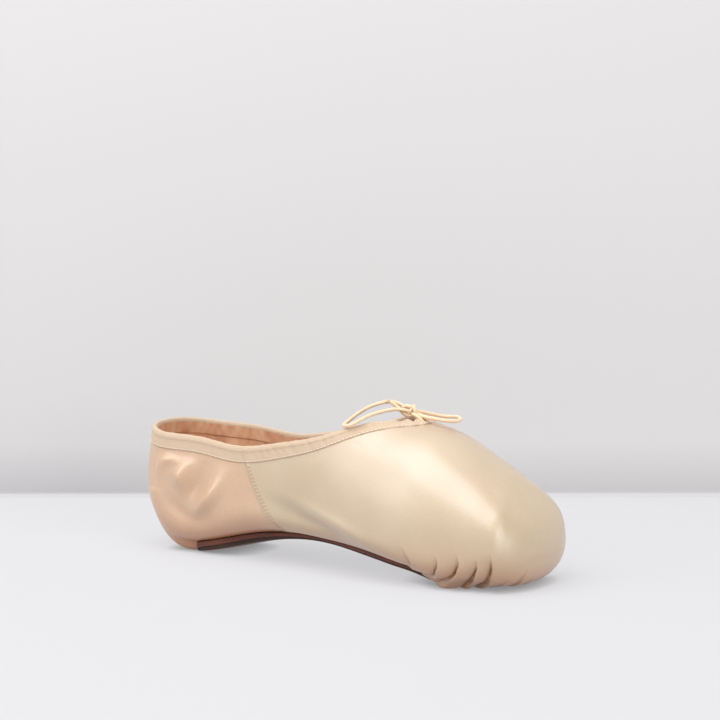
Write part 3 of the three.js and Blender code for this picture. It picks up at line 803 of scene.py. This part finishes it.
def pleat(line, depth, column, height, stretch):
    """A folded-over pleat: a gentle slope down to a sharp line, and the next fold standing up behind it."""
    heights, columns = [h for _, h in line], [c for c, _ in line]
    past = (column - np.interp(height, heights, columns)) * stretch
    fall = -depth * np.exp(np.minimum(past, 0) / PLEAT_LEAD)
    rise = PLEAT_RISE * depth
    stand = rise * np.exp(-np.maximum(past, 0) / PLEAT_TAIL)
    step = (depth + rise) * np.exp(-np.maximum(past, 0) / PLEAT_SHARP)
    groove = -GROOVE_DEPTH * depth * np.exp(-(past / GROOVE_HALF)**2)
    fade = 1 - smooth(heights[-1] - FADE_TOP[0], heights[-1] + FADE_TOP[1], height)
    fade_in = smooth(heights[0] - FADE_FOOT[0], heights[0] + FADE_FOOT[1], height)
    return (np.where(past < 0, fall, stand - step) + groove) * fade * fade_in


def ripple(place, high, rate, sway, sway_rate):
    """Uneven waves along a line, each a little early or late."""
    return high * np.sin(place * rate + sway * np.sin(place * sway_rate))


def creases(column, height, length, side):
    """Height of the creases above the smooth last, in millimetres."""
    stretch = stretch_at(column, height / length)
    total = np.zeros(np.broadcast(column, height).shape)
    inner = smooth(0, TOE_CLEAR, 1 - column)
    chance = np.random.default_rng(FAR_SEED)
    for line, depth in zip(PLEATS, PLEAT_DEPTHS):
        if side == "far":
            shift, tall = chance.uniform(-FAR_SHIFT, FAR_SHIFT), chance.uniform(FAR_SHORT, FAR_TALL)
            line = [(c + shift, h * tall) for c, h in line]
        total += pleat(line, depth, column, height, stretch) * inner
    for line, wide, high, where in FOLDS:
        if where in (side, "both"):
            total += fold(line, wide, high, column, height, stretch)
    # Under the sole's edge the gathered satin lies in many small pleats
    small = np.abs(ripple(column, *SMALL_PLEATS)) * smooth(SMALL_FROM, SMALL_TO, column)
    total += small * (1 - smooth(SMALL_UP, SMALL_TOP, height)) * inner
    return total * (1 - smooth(length - TAPE_WIDTH - CREASES_END, length - TAPE_WIDTH, height))


ROLL_HIGH, ROLL_WIDE = 0.25, 0.005  # the folded edge's roll, in millimetres and columns


def lap_at(column, up):
    """The vamp's folded edge stands over the quarter at the side seam."""
    edge = smooth(SEAM_COLUMN, SEAM_COLUMN + SEAM_LAP, column)
    roll = ROLL_HIGH * np.exp(-((column - SEAM_COLUMN - SEAM_LAP) / ROLL_WIDE)**2)
    return edge * (VAMP_PROUD + roll) * smooth(PROUD_FROM, PROUD_TO, up)


# Satin drawn over the sole's edge: columns between which it starts or ends, and how far up it is pulled
TUCK_HEEL, TUCK_TOE = (0.060, 0.115, 36.0), (0.785, 0.835, 22.0)
SOLE_START = 28.0  # further in than the solid sole's, which the satin would cover
EDGE_STEP, EDGE_SHARE = 0.8, 0.55  # how far the scored band stands in, and the suede band's share above it
TOE_PULL_FROM, TOE_PULL_TO = 165, 177  # places between which it is drawn on towards the toe
PAST_END, OUT, UP_EDGE = 0.2, 0.25, 0.3  # where the pulled satin ends beside the sole
FLOOR_CLEAR = 0.15
FLATTER, FLATTER_BELOW = 0.3, 8.0  # share that creases lose, and up to where


def sole_top(x, y):
    normal = normal_at(np.stack([x, y, underside_at(x, y)], -1))
    return underside_at(x, y) - SOLE_GAP / np.abs(normal[..., 2])


def tucked(places, column, heights, foot):
    """Draws the satin down over the sole's edge round the back of the heel and round the toe."""
    x, side_of = foot[:, 0], np.sign(foot[:, 1])
    heel = 1 - smooth(TUCK_HEEL[0], TUCK_HEEL[1], column)
    toe = smooth(TUCK_TOE[0], TUCK_TOE[1], column)
    onward = np.clip((x - TOE_PULL_FROM) / (TOE_PULL_TO - TOE_PULL_FROM), 0, 1)
    shift = (SOLE_START - OUTSOLE_START - MARGIN) * heel + MARGIN * toe * onward
    new_x = np.clip(x + shift, SOLE_START - PAST_END, OUTSOLE_END + PAST_END)
    inside = np.clip(new_x, SOLE_START, OUTSOLE_END)
    half = outsole_half(inside) * rounded_ends(inside, SOLE_START, OUTSOLE_END)
    under = sole_top(inside, np.maximum(0, half - EDGE_STEP)) - outsole_thick(inside)
    target = np.stack([new_x, side_of * (half + OUT), np.maximum(FLOOR_CLEAR, under + UP_EDGE)], -1)
    pull = target - foot
    for share, reach in ((heel, TUCK_HEEL[2]), (toe, TUCK_TOE[2])):
        places = places + pull[:, None] * (share[:, None] * (1 - smooth(0, reach, heights)))[..., None]
    return places


def skin(side, heights, where):
    """Places on the outside of the satin, with the normals there."""
    places = side.at(heights)
    normal = normal_at(places)
    column = side.columns[:, None]
    # Where it is drawn over the sole's edge the cloth lies flatter
    flat = FLATTER * smooth(TUCK_TOE[0], TUCK_TOE[1], column) * (1 - smooth(0, FLATTER_BELOW, heights))
    lift = lap_at(column, heights) + creases(column, heights, side.length[:, None], where) * (1 - flat)
    places = tucked(places + normal * lift[..., None], side.columns, heights, side.points[:, 0])
    places[..., 2] = np.maximum(places[..., 2], FLOOR_CLEAR)
    return places, normal


def mirrored(places):
    return places * np.array((1, -1, 1))


def round_shoe(far, near):
    """Joins the columns of both sides, heel to toe and back, near side mirrored."""
    back = mirrored(near[::-1])
    loop = np.concatenate([far, back[1:]])
    loop[-1] = loop[0]
    return loop


WALL_TOP = 0.9  # the cut edge lies under the drawstring
UPPER_COLUMNS = np.concatenate([  # closer together at the side seam's edge and in the pleats
    np.linspace(0, 0.396, 64), (0.399, 0.400, 0.401, 0.402, 0.403, 0.404, 0.406, 0.409),
    np.linspace(0.412, 0.70, 48), np.linspace(0.7012, 1, 250),
])
ROWS, ROW_GROWTH, INNER_ROWS = 72, 1.35, 24
UNDER_TAPE = np.array((0.33, 0.66, 1.0))  # rows between the tape's edge and the satin's
QUARTER, VAMP, LINED = 0, 1, 2  # the upper's materials, in order
PUCKER_SEED, PUCKER_RATES, PUCKER_HIGH = 5, (61, 97, 143), 0.2
PUCKER_PHASES = 6  # radians over which the waves are shifted at random
PUCKER_LEAN, LEAN_RATE = 0.01, 60  # how much the puckers lean as they rise
PUCKER_START, PUCKER_FADE, PUCKER_END = 0.05, 0.5, 0.62  # columns
PUCKER_BELOW = 6  # millimetres below the tape over which they start
CREASED_THROUGH, STIFF_FROM = 0.55, 0.68  # columns between which the wall grows stiff


def make_upper():
    side = Side(UPPER_COLUMNS)
    free = (side.length - side.tape)[:, None]
    top = (side.length - WALL_TOP)[:, None]
    outer_heights = np.concatenate([
        free * np.linspace(0, 1, ROWS + 1)**ROW_GROWTH,
        free + (top - free) * UNDER_TAPE,
    ], axis=1)
    inner_heights = top * np.linspace(1, 0, INNER_ROWS)**ROW_GROWTH
    chance = np.random.default_rng(PUCKER_SEED)
    halves = []
    for where in ("far", "near"):
        outer = skin(side, outer_heights, where)[0]
        inner = side.at(inner_heights)
        below = side.length[:, None] - inner_heights
        wall = wall_at(inner[..., 0], below)
        column = side.columns[:, None]
        # The pasted lining puckers upright inside the quarters
        waves = sum(
            np.sin(column * rate + phase + PUCKER_LEAN * inner_heights * rate / LEAN_RATE)
            for rate, phase in zip(PUCKER_RATES, chance.uniform(0, PUCKER_PHASES, len(PUCKER_RATES)))
        )
        pucker = PUCKER_HIGH * waves * smooth(0, PUCKER_START, column)
        pucker *= 1 - smooth(PUCKER_FADE, PUCKER_END, column)
        pucker *= smooth(TAPE_WIDTH, TAPE_WIDTH + PUCKER_BELOW, below)
        # Soft quarters crease right through, the stiff block only outside
        soft = 1 - smooth(CREASED_THROUGH, STIFF_FROM, column)
        follow = creases(column, inner_heights, side.length[:, None], where) * soft
        inner = inner - normal_at(inner) * (wall - pucker - follow)[..., None]
        halves.append(np.concatenate([outer, inner, outer[:, :1]], axis=1))
    places = round_shoe(*halves)
    around = np.concatenate([UPPER_COLUMNS, UPPER_COLUMNS[::-1][1:]])
    middle = (around[1:] + around[:-1]) / 2
    kinds = np.full((len(around) - 1, places.shape[1] - 1), LINED)
    outer_count = outer_heights.shape[1]
    kinds[:, :outer_count - 1] = np.where(middle > SEAM_COLUMN, VAMP, QUARTER)[:, None]
    kinds[:, -1] = kinds[:, 0]
    new_piece(
        "upper_satin", bent_grid(places, cloth_lengths(places), kinds),
        [SATIN_QUARTER, SATIN_VAMP, LINING], ["upper"],
    )


# Binding: a folded tape with the drawstring inside its fold
TAPE_THICK, TAPE_OFF, RISE = 0.45, 0.06, 2.0  # thickness, gap to the satin, and height above its edge
GATHER = (  # place along the rim from the throat in millimetres and how far the gathered tape stands
    (1.5, 1.0), (5.0, -0.8), (8.0, 0.7), (11.5, -0.35), (15.0, 0.35), (19.5, -0.25), (24.0, 0.22),
)
GATHER_HALF = 1.5
FINE_RIPPLE, INNER_RIPPLE = (0.10, 1.25, 1.5, 0.19), (0.3, 1.05, 2.2, 0.23)  # as SMALL_PLEATS
SLOW_RIPPLE = 0.08, 0.63, 2  # height, rate and phase
TAPE_COLUMNS = np.concatenate([np.linspace(0, 0.70, 170), np.linspace(0.7025, 1, 150)])
# Rows of the tape, as shares of its width from its lower edge to the rim
TAPE_SHARES = np.array((0, 0.03, 0.08, 0.16, 0.26, 0.38, 0.5, 0.62, 0.74, 0.84, 0.92, 1.0))
TAPE_EDGE_ROUND = 0.06  # share of the width over which the lower edge is rounded
GATHER_AT_EDGE, GATHER_INSIDE = 0.25, 0.6  # shares of the gathers there
CORD_BULGE, BULGE_AT, BULGE_WIDE = 0.35, 0.93, 0.10  # millimetres, then shares of the width
ARC_STEPS = 13
OUTSIDE, WITHIN = 0, 1  # the binding's materials, in order
# The drawstring in its casing: place above the satin's edge, radius, points, and gap at its ends
CASING_CORD_UP, CASING_CORD_RADIUS, CASING_CORD_POINTS, CASING_CORD_CUT = 0.55, 0.62, 420, 4


def gathers(rim, from_throat, share):
    """The tape puckers where the drawstring gathers it, most at the throat."""
    high, rate, phase = SLOW_RIPPLE
    small = ripple(rim, *FINE_RIPPLE) + high * np.sin(rim * rate + phase)
    large = sum(stand * np.exp(-((from_throat - at) / GATHER_HALF)**2) for at, stand in GATHER)
    return (small + large) * share


def arched(outside, inside, up, lift, turn):
    """Places over the rim from outside to inside, half a turn with its top lift above them."""
    across, centre = (outside - inside) / 2, (outside + inside) / 2
    risen = up[:, None] * (np.sin(turn)[None] * lift)[..., None]
    return centre[:, None] + across[:, None] * np.cos(turn)[None, :, None] + risen


def make_binding():
    """The tape alike on both sides. Gives the line of the drawstring inside it."""
    side = Side(TAPE_COLUMNS)
    rim = lengths(side.points[:, -1])[:, None]
    from_throat = rim[-1] - rim
    heights = side.length[:, None] - side.tape[:, None] * (1 - TAPE_SHARES)
    places = side.at(heights)
    normal = normal_at(places)
    proud = lap_at(TAPE_COLUMNS[:, None], heights)
    round_edge = TAPE_THICK * np.sqrt(np.clip(TAPE_SHARES / TAPE_EDGE_ROUND, 0, 1))[None]
    wave = gathers(rim, from_throat, GATHER_AT_EDGE + (1 - GATHER_AT_EDGE) * TAPE_SHARES[None])
    # The cord makes the tape stand a little where it lies
    bulge = CORD_BULGE * np.exp(-((TAPE_SHARES - BULGE_AT) / BULGE_WIDE)**2)[None]
    outer = places + normal * (proud + TAPE_OFF + round_edge + wave + bulge)[..., None]
    under = places + normal * (proud + TAPE_OFF)[..., None]
    upright = ripple(rim, *INNER_RIPPLE) * np.sin(TAPE_SHARES * np.pi)[None]
    deep = WALL_QUARTER + TAPE_OFF + round_edge + GATHER_INSIDE * wave + upright
    inner = places - normal * deep[..., None]
    lining = places - normal * (WALL_QUARTER + TAPE_OFF)
    turn = np.linspace(0, np.pi, ARC_STEPS)[1:-1]
    lift = RISE + GATHER_INSIDE * gathers(rim, from_throat, 1.0)
    over = arched(outer[:, -1], inner[:, -1], side.square, lift, turn)
    hollow = arched(under[:, -1], lining[:, -1], side.square, lift - TAPE_THICK, turn[::-1])
    ring = [outer, over, inner[:, ::-1], lining, hollow, under[:, ::-1]]
    half = np.concatenate(ring + [outer[:, :1]], axis=1)
    kinds = np.full(half.shape[1] - 1, OUTSIDE)
    kinds[outer.shape[1] + over.shape[1]:-under.shape[1]] = WITHIN
    places = round_shoe(half, half)
    new_piece(
        "binding_tape", bent_grid(places, cloth_lengths(places), kinds),
        [TAPE_COTTON, LINING], ["binding"],
    )
    cord = side.points[:, -1] + side.normal * (-WALL_QUARTER / 2) + side.square * CASING_CORD_UP
    return round_shoe(cord[:, None], cord[:, None])[:, 0]


def make_casing_cord(ring):
    """The drawstring's run round the rim inside the tape's fold."""
    run = lengths(ring)
    route = along(ring, run, np.linspace(CASING_CORD_CUT, run[-1] - CASING_CORD_CUT, CASING_CORD_POINTS))
    cord = tube(route, CASING_CORD_RADIUS, sides=CASING_CORD_SIDES)
    new_piece("drawstring_in_casing", cord, [BRAID])


# Stitches: pitch, length and radius of each kind in millimetres
SEAM_STITCH, BACK_STITCH, TAPE_STITCH = (1.9, 1.35, 0.13), (1.9, 1.35, 0.12), (2.1, 1.5, 0.11)
STITCH_POINTS, STITCH_LIFT = 6, 0.1
SEAM_ROWS, BACK_ROWS = (1.2, 2.9), (-0.9, 0.9)  # millimetres from the vamp's edge and from the heel's middle
TAPE_ROW = 0.88  # share of the tape's width below the rim
SEAM_STRETCH = 420  # millimetres per unit of column beside the side seam
SEAM_ROW_FROM, BACK_ROW_FROM, ROW_END = 5, 7, 0.6  # heights of the lowest stitches, and gap to the tape
SEAM_ROW_POINTS, BACK_ROW_POINTS, TAPE_ROW_COLUMNS = 160, 120, 320


def stitches(bm, places, normal, pitch, long, radius):
    """Separate stitches along a line on a surface, each bowed a little above it."""
    run = lengths(places)
    for start in np.arange(pitch / 2, run[-1] - long, pitch):
        marks = start + np.linspace(0, long, STITCH_POINTS)
        route, up = along(places, run, marks), along(normal, run, marks)
        bow = np.sin(np.linspace(0, np.pi, STITCH_POINTS))[:, None]
        tube(route + up * (STITCH_LIFT * (2 * bow - 1)), radius, sides=FINE_SIDES, bm=bm)


def cloth_mesh():
    bm = bmesh.new()
    bm.loops.layers.uv.new("cloth")
    return bm


def up_to_tape(side, start, count):
    return np.linspace(start, side.length[0] - side.tape[0] - ROW_END, count)[None]


def make_stitches():
    bm, tape_bm = cloth_mesh(), cloth_mesh()
    # Two rows down each side seam, on the vamp's folded edge
    for gap in SEAM_ROWS:
        for where in ("far", "near"):
            side = Side(np.array([SEAM_COLUMN + SEAM_LAP + gap / SEAM_STRETCH]))
            heights = up_to_tape(side, SEAM_ROW_FROM, SEAM_ROW_POINTS)
            places, normal = (a[0] for a in skin(side, heights, where))
            if where == "near":
                places, normal = mirrored(places), mirrored(normal)
            stitches(bm, places, normal, *SEAM_STITCH)
    # Two rows down the seam at the back of the heel
    side = Side(np.array([0.0]))
    heights = up_to_tape(side, BACK_ROW_FROM, BACK_ROW_POINTS)
    places, normal = (a[0] for a in skin(side, heights, "far"))
    for off in BACK_ROWS:
        stitches(bm, places + np.array((0, off, 0)), normal, *BACK_STITCH)
    # One row holds the tape, just above its lower edge
    side = Side(np.linspace(0, 1, TAPE_ROW_COLUMNS))
    heights = (side.length - side.tape * TAPE_ROW)[:, None]
    places = side.at(heights)
    normal = normal_at(places)
    stand = lap_at(side.columns[:, None], heights) + TAPE_OFF + TAPE_THICK
    places, normal = (places + normal * stand[..., None])[:, 0], normal[:, 0]
    stitches(tape_bm, places, normal, *TAPE_STITCH)
    stitches(tape_bm, mirrored(places), mirrored(normal), *TAPE_STITCH)
    new_piece("seam_stitches", bm, [SEAM_THREAD])
    new_piece("tape_stitches", tape_bm, [TAPE_THREAD])


# Soles
SERRATION, SERRATION_DEPTH = 1.4, 0.25  # the scoring's pitch and depth
UNDER_SATIN, UNDER_FROM, UNDER_TO = 0.07, 156, 168  # share of the width, and places over which it grows
BAND_ROUND, UNDERCUT, STEP_SHARE = 0.18, 0.25, 0.25  # millimetres, then the step's share of a narrow sole
SOLE_COLUMNS, SOLE_ACROSS, BAND_ROWS = 520, 15, 7
TREAD, EDGE = 0, 1  # the outsole's materials, in order
# The inner sole against the outsole, and its thickness
INNER_WIDER, INNER_HEEL, INNER_TOE, INNER_THICK = 1.5, 7, 6, 1.6
INNER_TRIM, INNER_COLUMNS, INNER_ACROSS = 0.04, 160, 31


def shares_across(count):
    """From -1 to 1, closer together at both edges."""
    return np.sin(np.linspace(-1, 1, count) * np.pi / 2)[None]


def make_outsole():
    x = eased(SOLE_START, OUTSOLE_END, SOLE_COLUMNS)
    half = outsole_half(x) * rounded_ends(x, SOLE_START, OUTSOLE_END)
    # Under the tucked satin the edge stands back
    half *= 1 - UNDER_SATIN * smooth(UNDER_FROM, UNDER_TO, x)
    thick = outsole_thick(x)
    edge = lengths(np.stack([x, half], -1))
    notch = SERRATION_DEPTH * (0.5 + 0.5 * np.sin(2 * np.pi * edge / SERRATION))**2
    low_half = half - np.minimum(EDGE_STEP, STEP_SHARE * half)
    shares = shares_across(SOLE_ACROSS)
    wide = half[:, None]
    top_y = shares * wide
    top_z = sole_top(x[:, None] + 0 * top_y, top_y)
    rim_z = top_z[:, -1]
    rim_low = np.maximum(0, sole_top(x, low_half) - thick)
    step_z = rim_z - EDGE_SHARE * (rim_z - rim_low)
    band = np.linspace(0, 1, BAND_ROWS)[None]
    # The suede band's face is slightly rounded, the scored band below is notched all along
    upper_y = wide + BAND_ROUND * np.sin(band * np.pi)
    upper_z = rim_z[:, None] + (step_z - rim_z)[:, None] * band
    lower_y = (low_half - notch)[:, None] - UNDERCUT * band**2
    lower_z = step_z[:, None] + (rim_low - step_z)[:, None] * band
    bottom_y = -shares * lower_y[:, -1:]
    bottom_z = np.maximum(0, sole_top(x[:, None] + 0 * bottom_y, bottom_y) - thick[:, None])
    far_y, near_y = [upper_y[:, 1:], lower_y], [-lower_y[:, ::-1], -upper_y[:, ::-1]]
    far_z, near_z = [upper_z[:, 1:], lower_z], [lower_z[:, ::-1], upper_z[:, ::-1]]
    y = np.concatenate([top_y, *far_y, bottom_y[:, 1:-1], *near_y], 1)
    z = np.concatenate([top_z, *far_z, bottom_z[:, 1:-1], *near_z], 1)
    places = np.stack([x[:, None] + 0 * y, y, z], -1)
    # Suede on top, round the upper bands and underneath, scored on the lower bands
    kinds = np.full(places.shape[1] - 1, EDGE)
    kinds[:SOLE_ACROSS + BAND_ROWS - 2] = TREAD
    kinds[-BAND_ROWS:] = TREAD
    kinds[SOLE_ACROSS + 2 * BAND_ROWS - 2:-2 * BAND_ROWS] = TREAD
    new_piece(
        "outsole_leather", bent_grid(places, cloth_lengths(places), kinds),
        [SUEDE, SCORED], ["outsole"],
    )


def make_inner_sole():
    start, end = OUTSOLE_START - INNER_HEEL, OUTSOLE_END + INNER_TOE
    x = eased(start, end, INNER_COLUMNS, INNER_TRIM)
    half = ((outsole_half(x) + INNER_WIDER) * rounded_ends(x, start, end))[:, None]
    y = shares_across(INNER_ACROSS) * half
    place = np.stack([x[:, None] + 0 * y, y, underside_at(x[:, None] + 0 * y, y)], -1)
    slope = np.abs(normal_at(place)[..., 2])
    rise = (wall_at(x, LENGTH)[:, None] + SOLE_GAP) / slope
    low = place + np.stack([0 * y, 0 * y, rise], -1)
    high = low + np.stack([0 * y, 0 * y, INNER_THICK / slope], -1)
    ring = np.concatenate([low, high[:, ::-1], low[:, :1]], 1)
    # Each end is drawn together to a point
    tip, tail_end = (end.mean(1, keepdims=True) + 0 * end for end in (ring[:1], ring[-1:]))
    ring = np.concatenate([tip, ring, tail_end])
    new_piece("inner_sole_board", bent_grid(ring, cloth_lengths(ring)), [LINING], ["inner_sole"])


make_upper()
make_casing_cord(make_binding())
make_stitches()
make_outsole()
make_inner_sole()


# Studio, in metres: a floor that glows (painted light that lifts the shadows, with painted contact shade
# near the shoe), a pale backdrop with painted shade at its foot, a large soft light overhead and two that
# fill
WALL_BEHIND, SWEEP, SWEEP_STEPS, PAPER = 0.197, 0.003, 16, 3.0
BACKDROP_SHADE_HIGH, CONTACT_SHADE_REACH = 0.03, 0.006  # height of the painted shade at the backdrop's foot, and reach of the painted shade round the shoe
HELD_BACK = 0.4  # share of the floor's glow that is left in that painted shade
PAPERS = (  # name, colour low down, colour above, glow; the backdrop's darker colour low down is painted shade and the floor's glow is painted light
    ("glowing_floor", "6e6e6f", "6e6e6f", 0.56),
    # The backdrop's colour low down is painted shade at its foot
    ("paper_backdrop", "b3b2b4", "c5c4c5", 0.0),
)
LIT_AT = (0.0, 0.0, 0.03)
LIGHTS = (  # name, place, size, power in watts, colour
    ("softbox", (-0.12, -0.38, 1.15), 1.25, 18.5, "fdfdff"),
    ("fill", (-0.9, -1.45, 0.75), 1.0, 10.5, "fffbf6"),
    ("toe_fill", (1.4, -0.5, 0.6), 1.2, 14.5, "fffbf6"),
)
SKY, SKY_STRENGTH = "f4f6fa", 0.33


def make_stage():
    """A matt floor, glowing as painted light, running up into a backdrop; its back faces let other views
    through.
    """
    papers = []
    for name, low, high, glow in PAPERS:
        material, tree = new_material(name)
        where = node(tree, "TexCoord").outputs["Object"]
        # Painted contact shade: the floor's glow is held back where the shoe is close to it. Painted shade:
        # the backdrop is darker low down
        open_air = node(tree, "AmbientOcclusion", {"Distance": CONTACT_SHADE_REACH}, samples=SHADE_SAMPLES).outputs["AO"]
        near = node(tree, "MapRange", {
            "Value": open_air, "From Min": 0.1, "From Max": 0.8, "To Min": HELD_BACK * glow, "To Max": glow,
        }).outputs[0]
        rise = node(tree, "SeparateXYZ", {0: where}).outputs[2]
        share = node(tree, "MapRange", {"Value": rise, "From Min": 0.0, "From Max": BACKDROP_SHADE_HIGH}).outputs[0]
        sheet = node(tree, "BsdfPrincipled", {
            "Base Color": tinted(tree, share, low, high), "Roughness": 0.95,
            "Emission Color": linear("fcfcff"), "Emission Strength": near,
        })
        clear = node(tree, "BsdfTransparent")
        behind = node(tree, "NewGeometry").outputs["Backfacing"]
        mix = node(tree, "MixShader", {0: behind, 1: sheet.outputs[0], 2: clear.outputs[0]})
        node(tree, "OutputMaterial", {"Surface": mix.outputs[0]})
        papers.append(material)
    bm = bmesh.new()
    bmesh.ops.create_grid(bm, x_segments=1, y_segments=1, size=PAPER)
    bmesh.ops.translate(bm, verts=bm.verts, vec=(0, WALL_BEHIND - PAPER, 0))
    far_edge = max(bm.edges, key=lambda e: sum(v.co.y for v in e.verts))
    risen = bmesh.ops.extrude_edge_only(bm, edges=[far_edge])["geom"]
    bmesh.ops.translate(bm, verts=[g for g in risen if isinstance(g, bmesh.types.BMVert)], vec=(0, 0, PAPER))
    bmesh.ops.bevel(bm, geom=[far_edge], offset=SWEEP, segments=SWEEP_STEPS, profile=0.5, affect="EDGES")
    bmesh.ops.rotate(bm, verts=bm.verts, cent=(0, 0, 0), matrix=Matrix.Rotation(AZIMUTH, 3, "Z"))
    bmesh.ops.recalc_face_normals(bm, faces=bm.faces)
    ground = min(bm.faces, key=lambda f: f.calc_center_median().z)
    if ground.normal.z < 0:
        bmesh.ops.reverse_faces(bm, faces=bm.faces)
    for face in bm.faces:
        face.material_index = int(face.calc_center_median().z > SWEEP / 2)
    mesh = bpy.data.meshes.new("studio_paper")
    bm.to_mesh(mesh)
    bm.free()
    mesh.shade_smooth()
    for material in papers:
        mesh.materials.append(material)
    paper = bpy.data.objects.new("studio_paper", mesh)
    scene.collection.objects.link(paper)


def area_light(name, place, size, power, colour):
    light = bpy.data.lights.new(name, "AREA")
    light.shape, light.size, light.energy, light.color = "SQUARE", size, power, linear(colour)[:3]
    lamp = bpy.data.objects.new(name, light)
    lamp.location = place
    lamp.rotation_mode = "QUATERNION"
    lamp.rotation_quaternion = (Vector(LIT_AT) - Vector(place)).to_track_quat("-Z", "Y")
    scene.collection.objects.link(lamp)


make_stage()
for light in LIGHTS:
    area_light(*light)
world = bpy.data.worlds.new("studio")
scene.world = world
world.use_nodes = True
sky = world.node_tree.nodes["Background"].inputs
sky["Color"].default_value, sky["Strength"].default_value = linear(SKY), SKY_STRENGTH
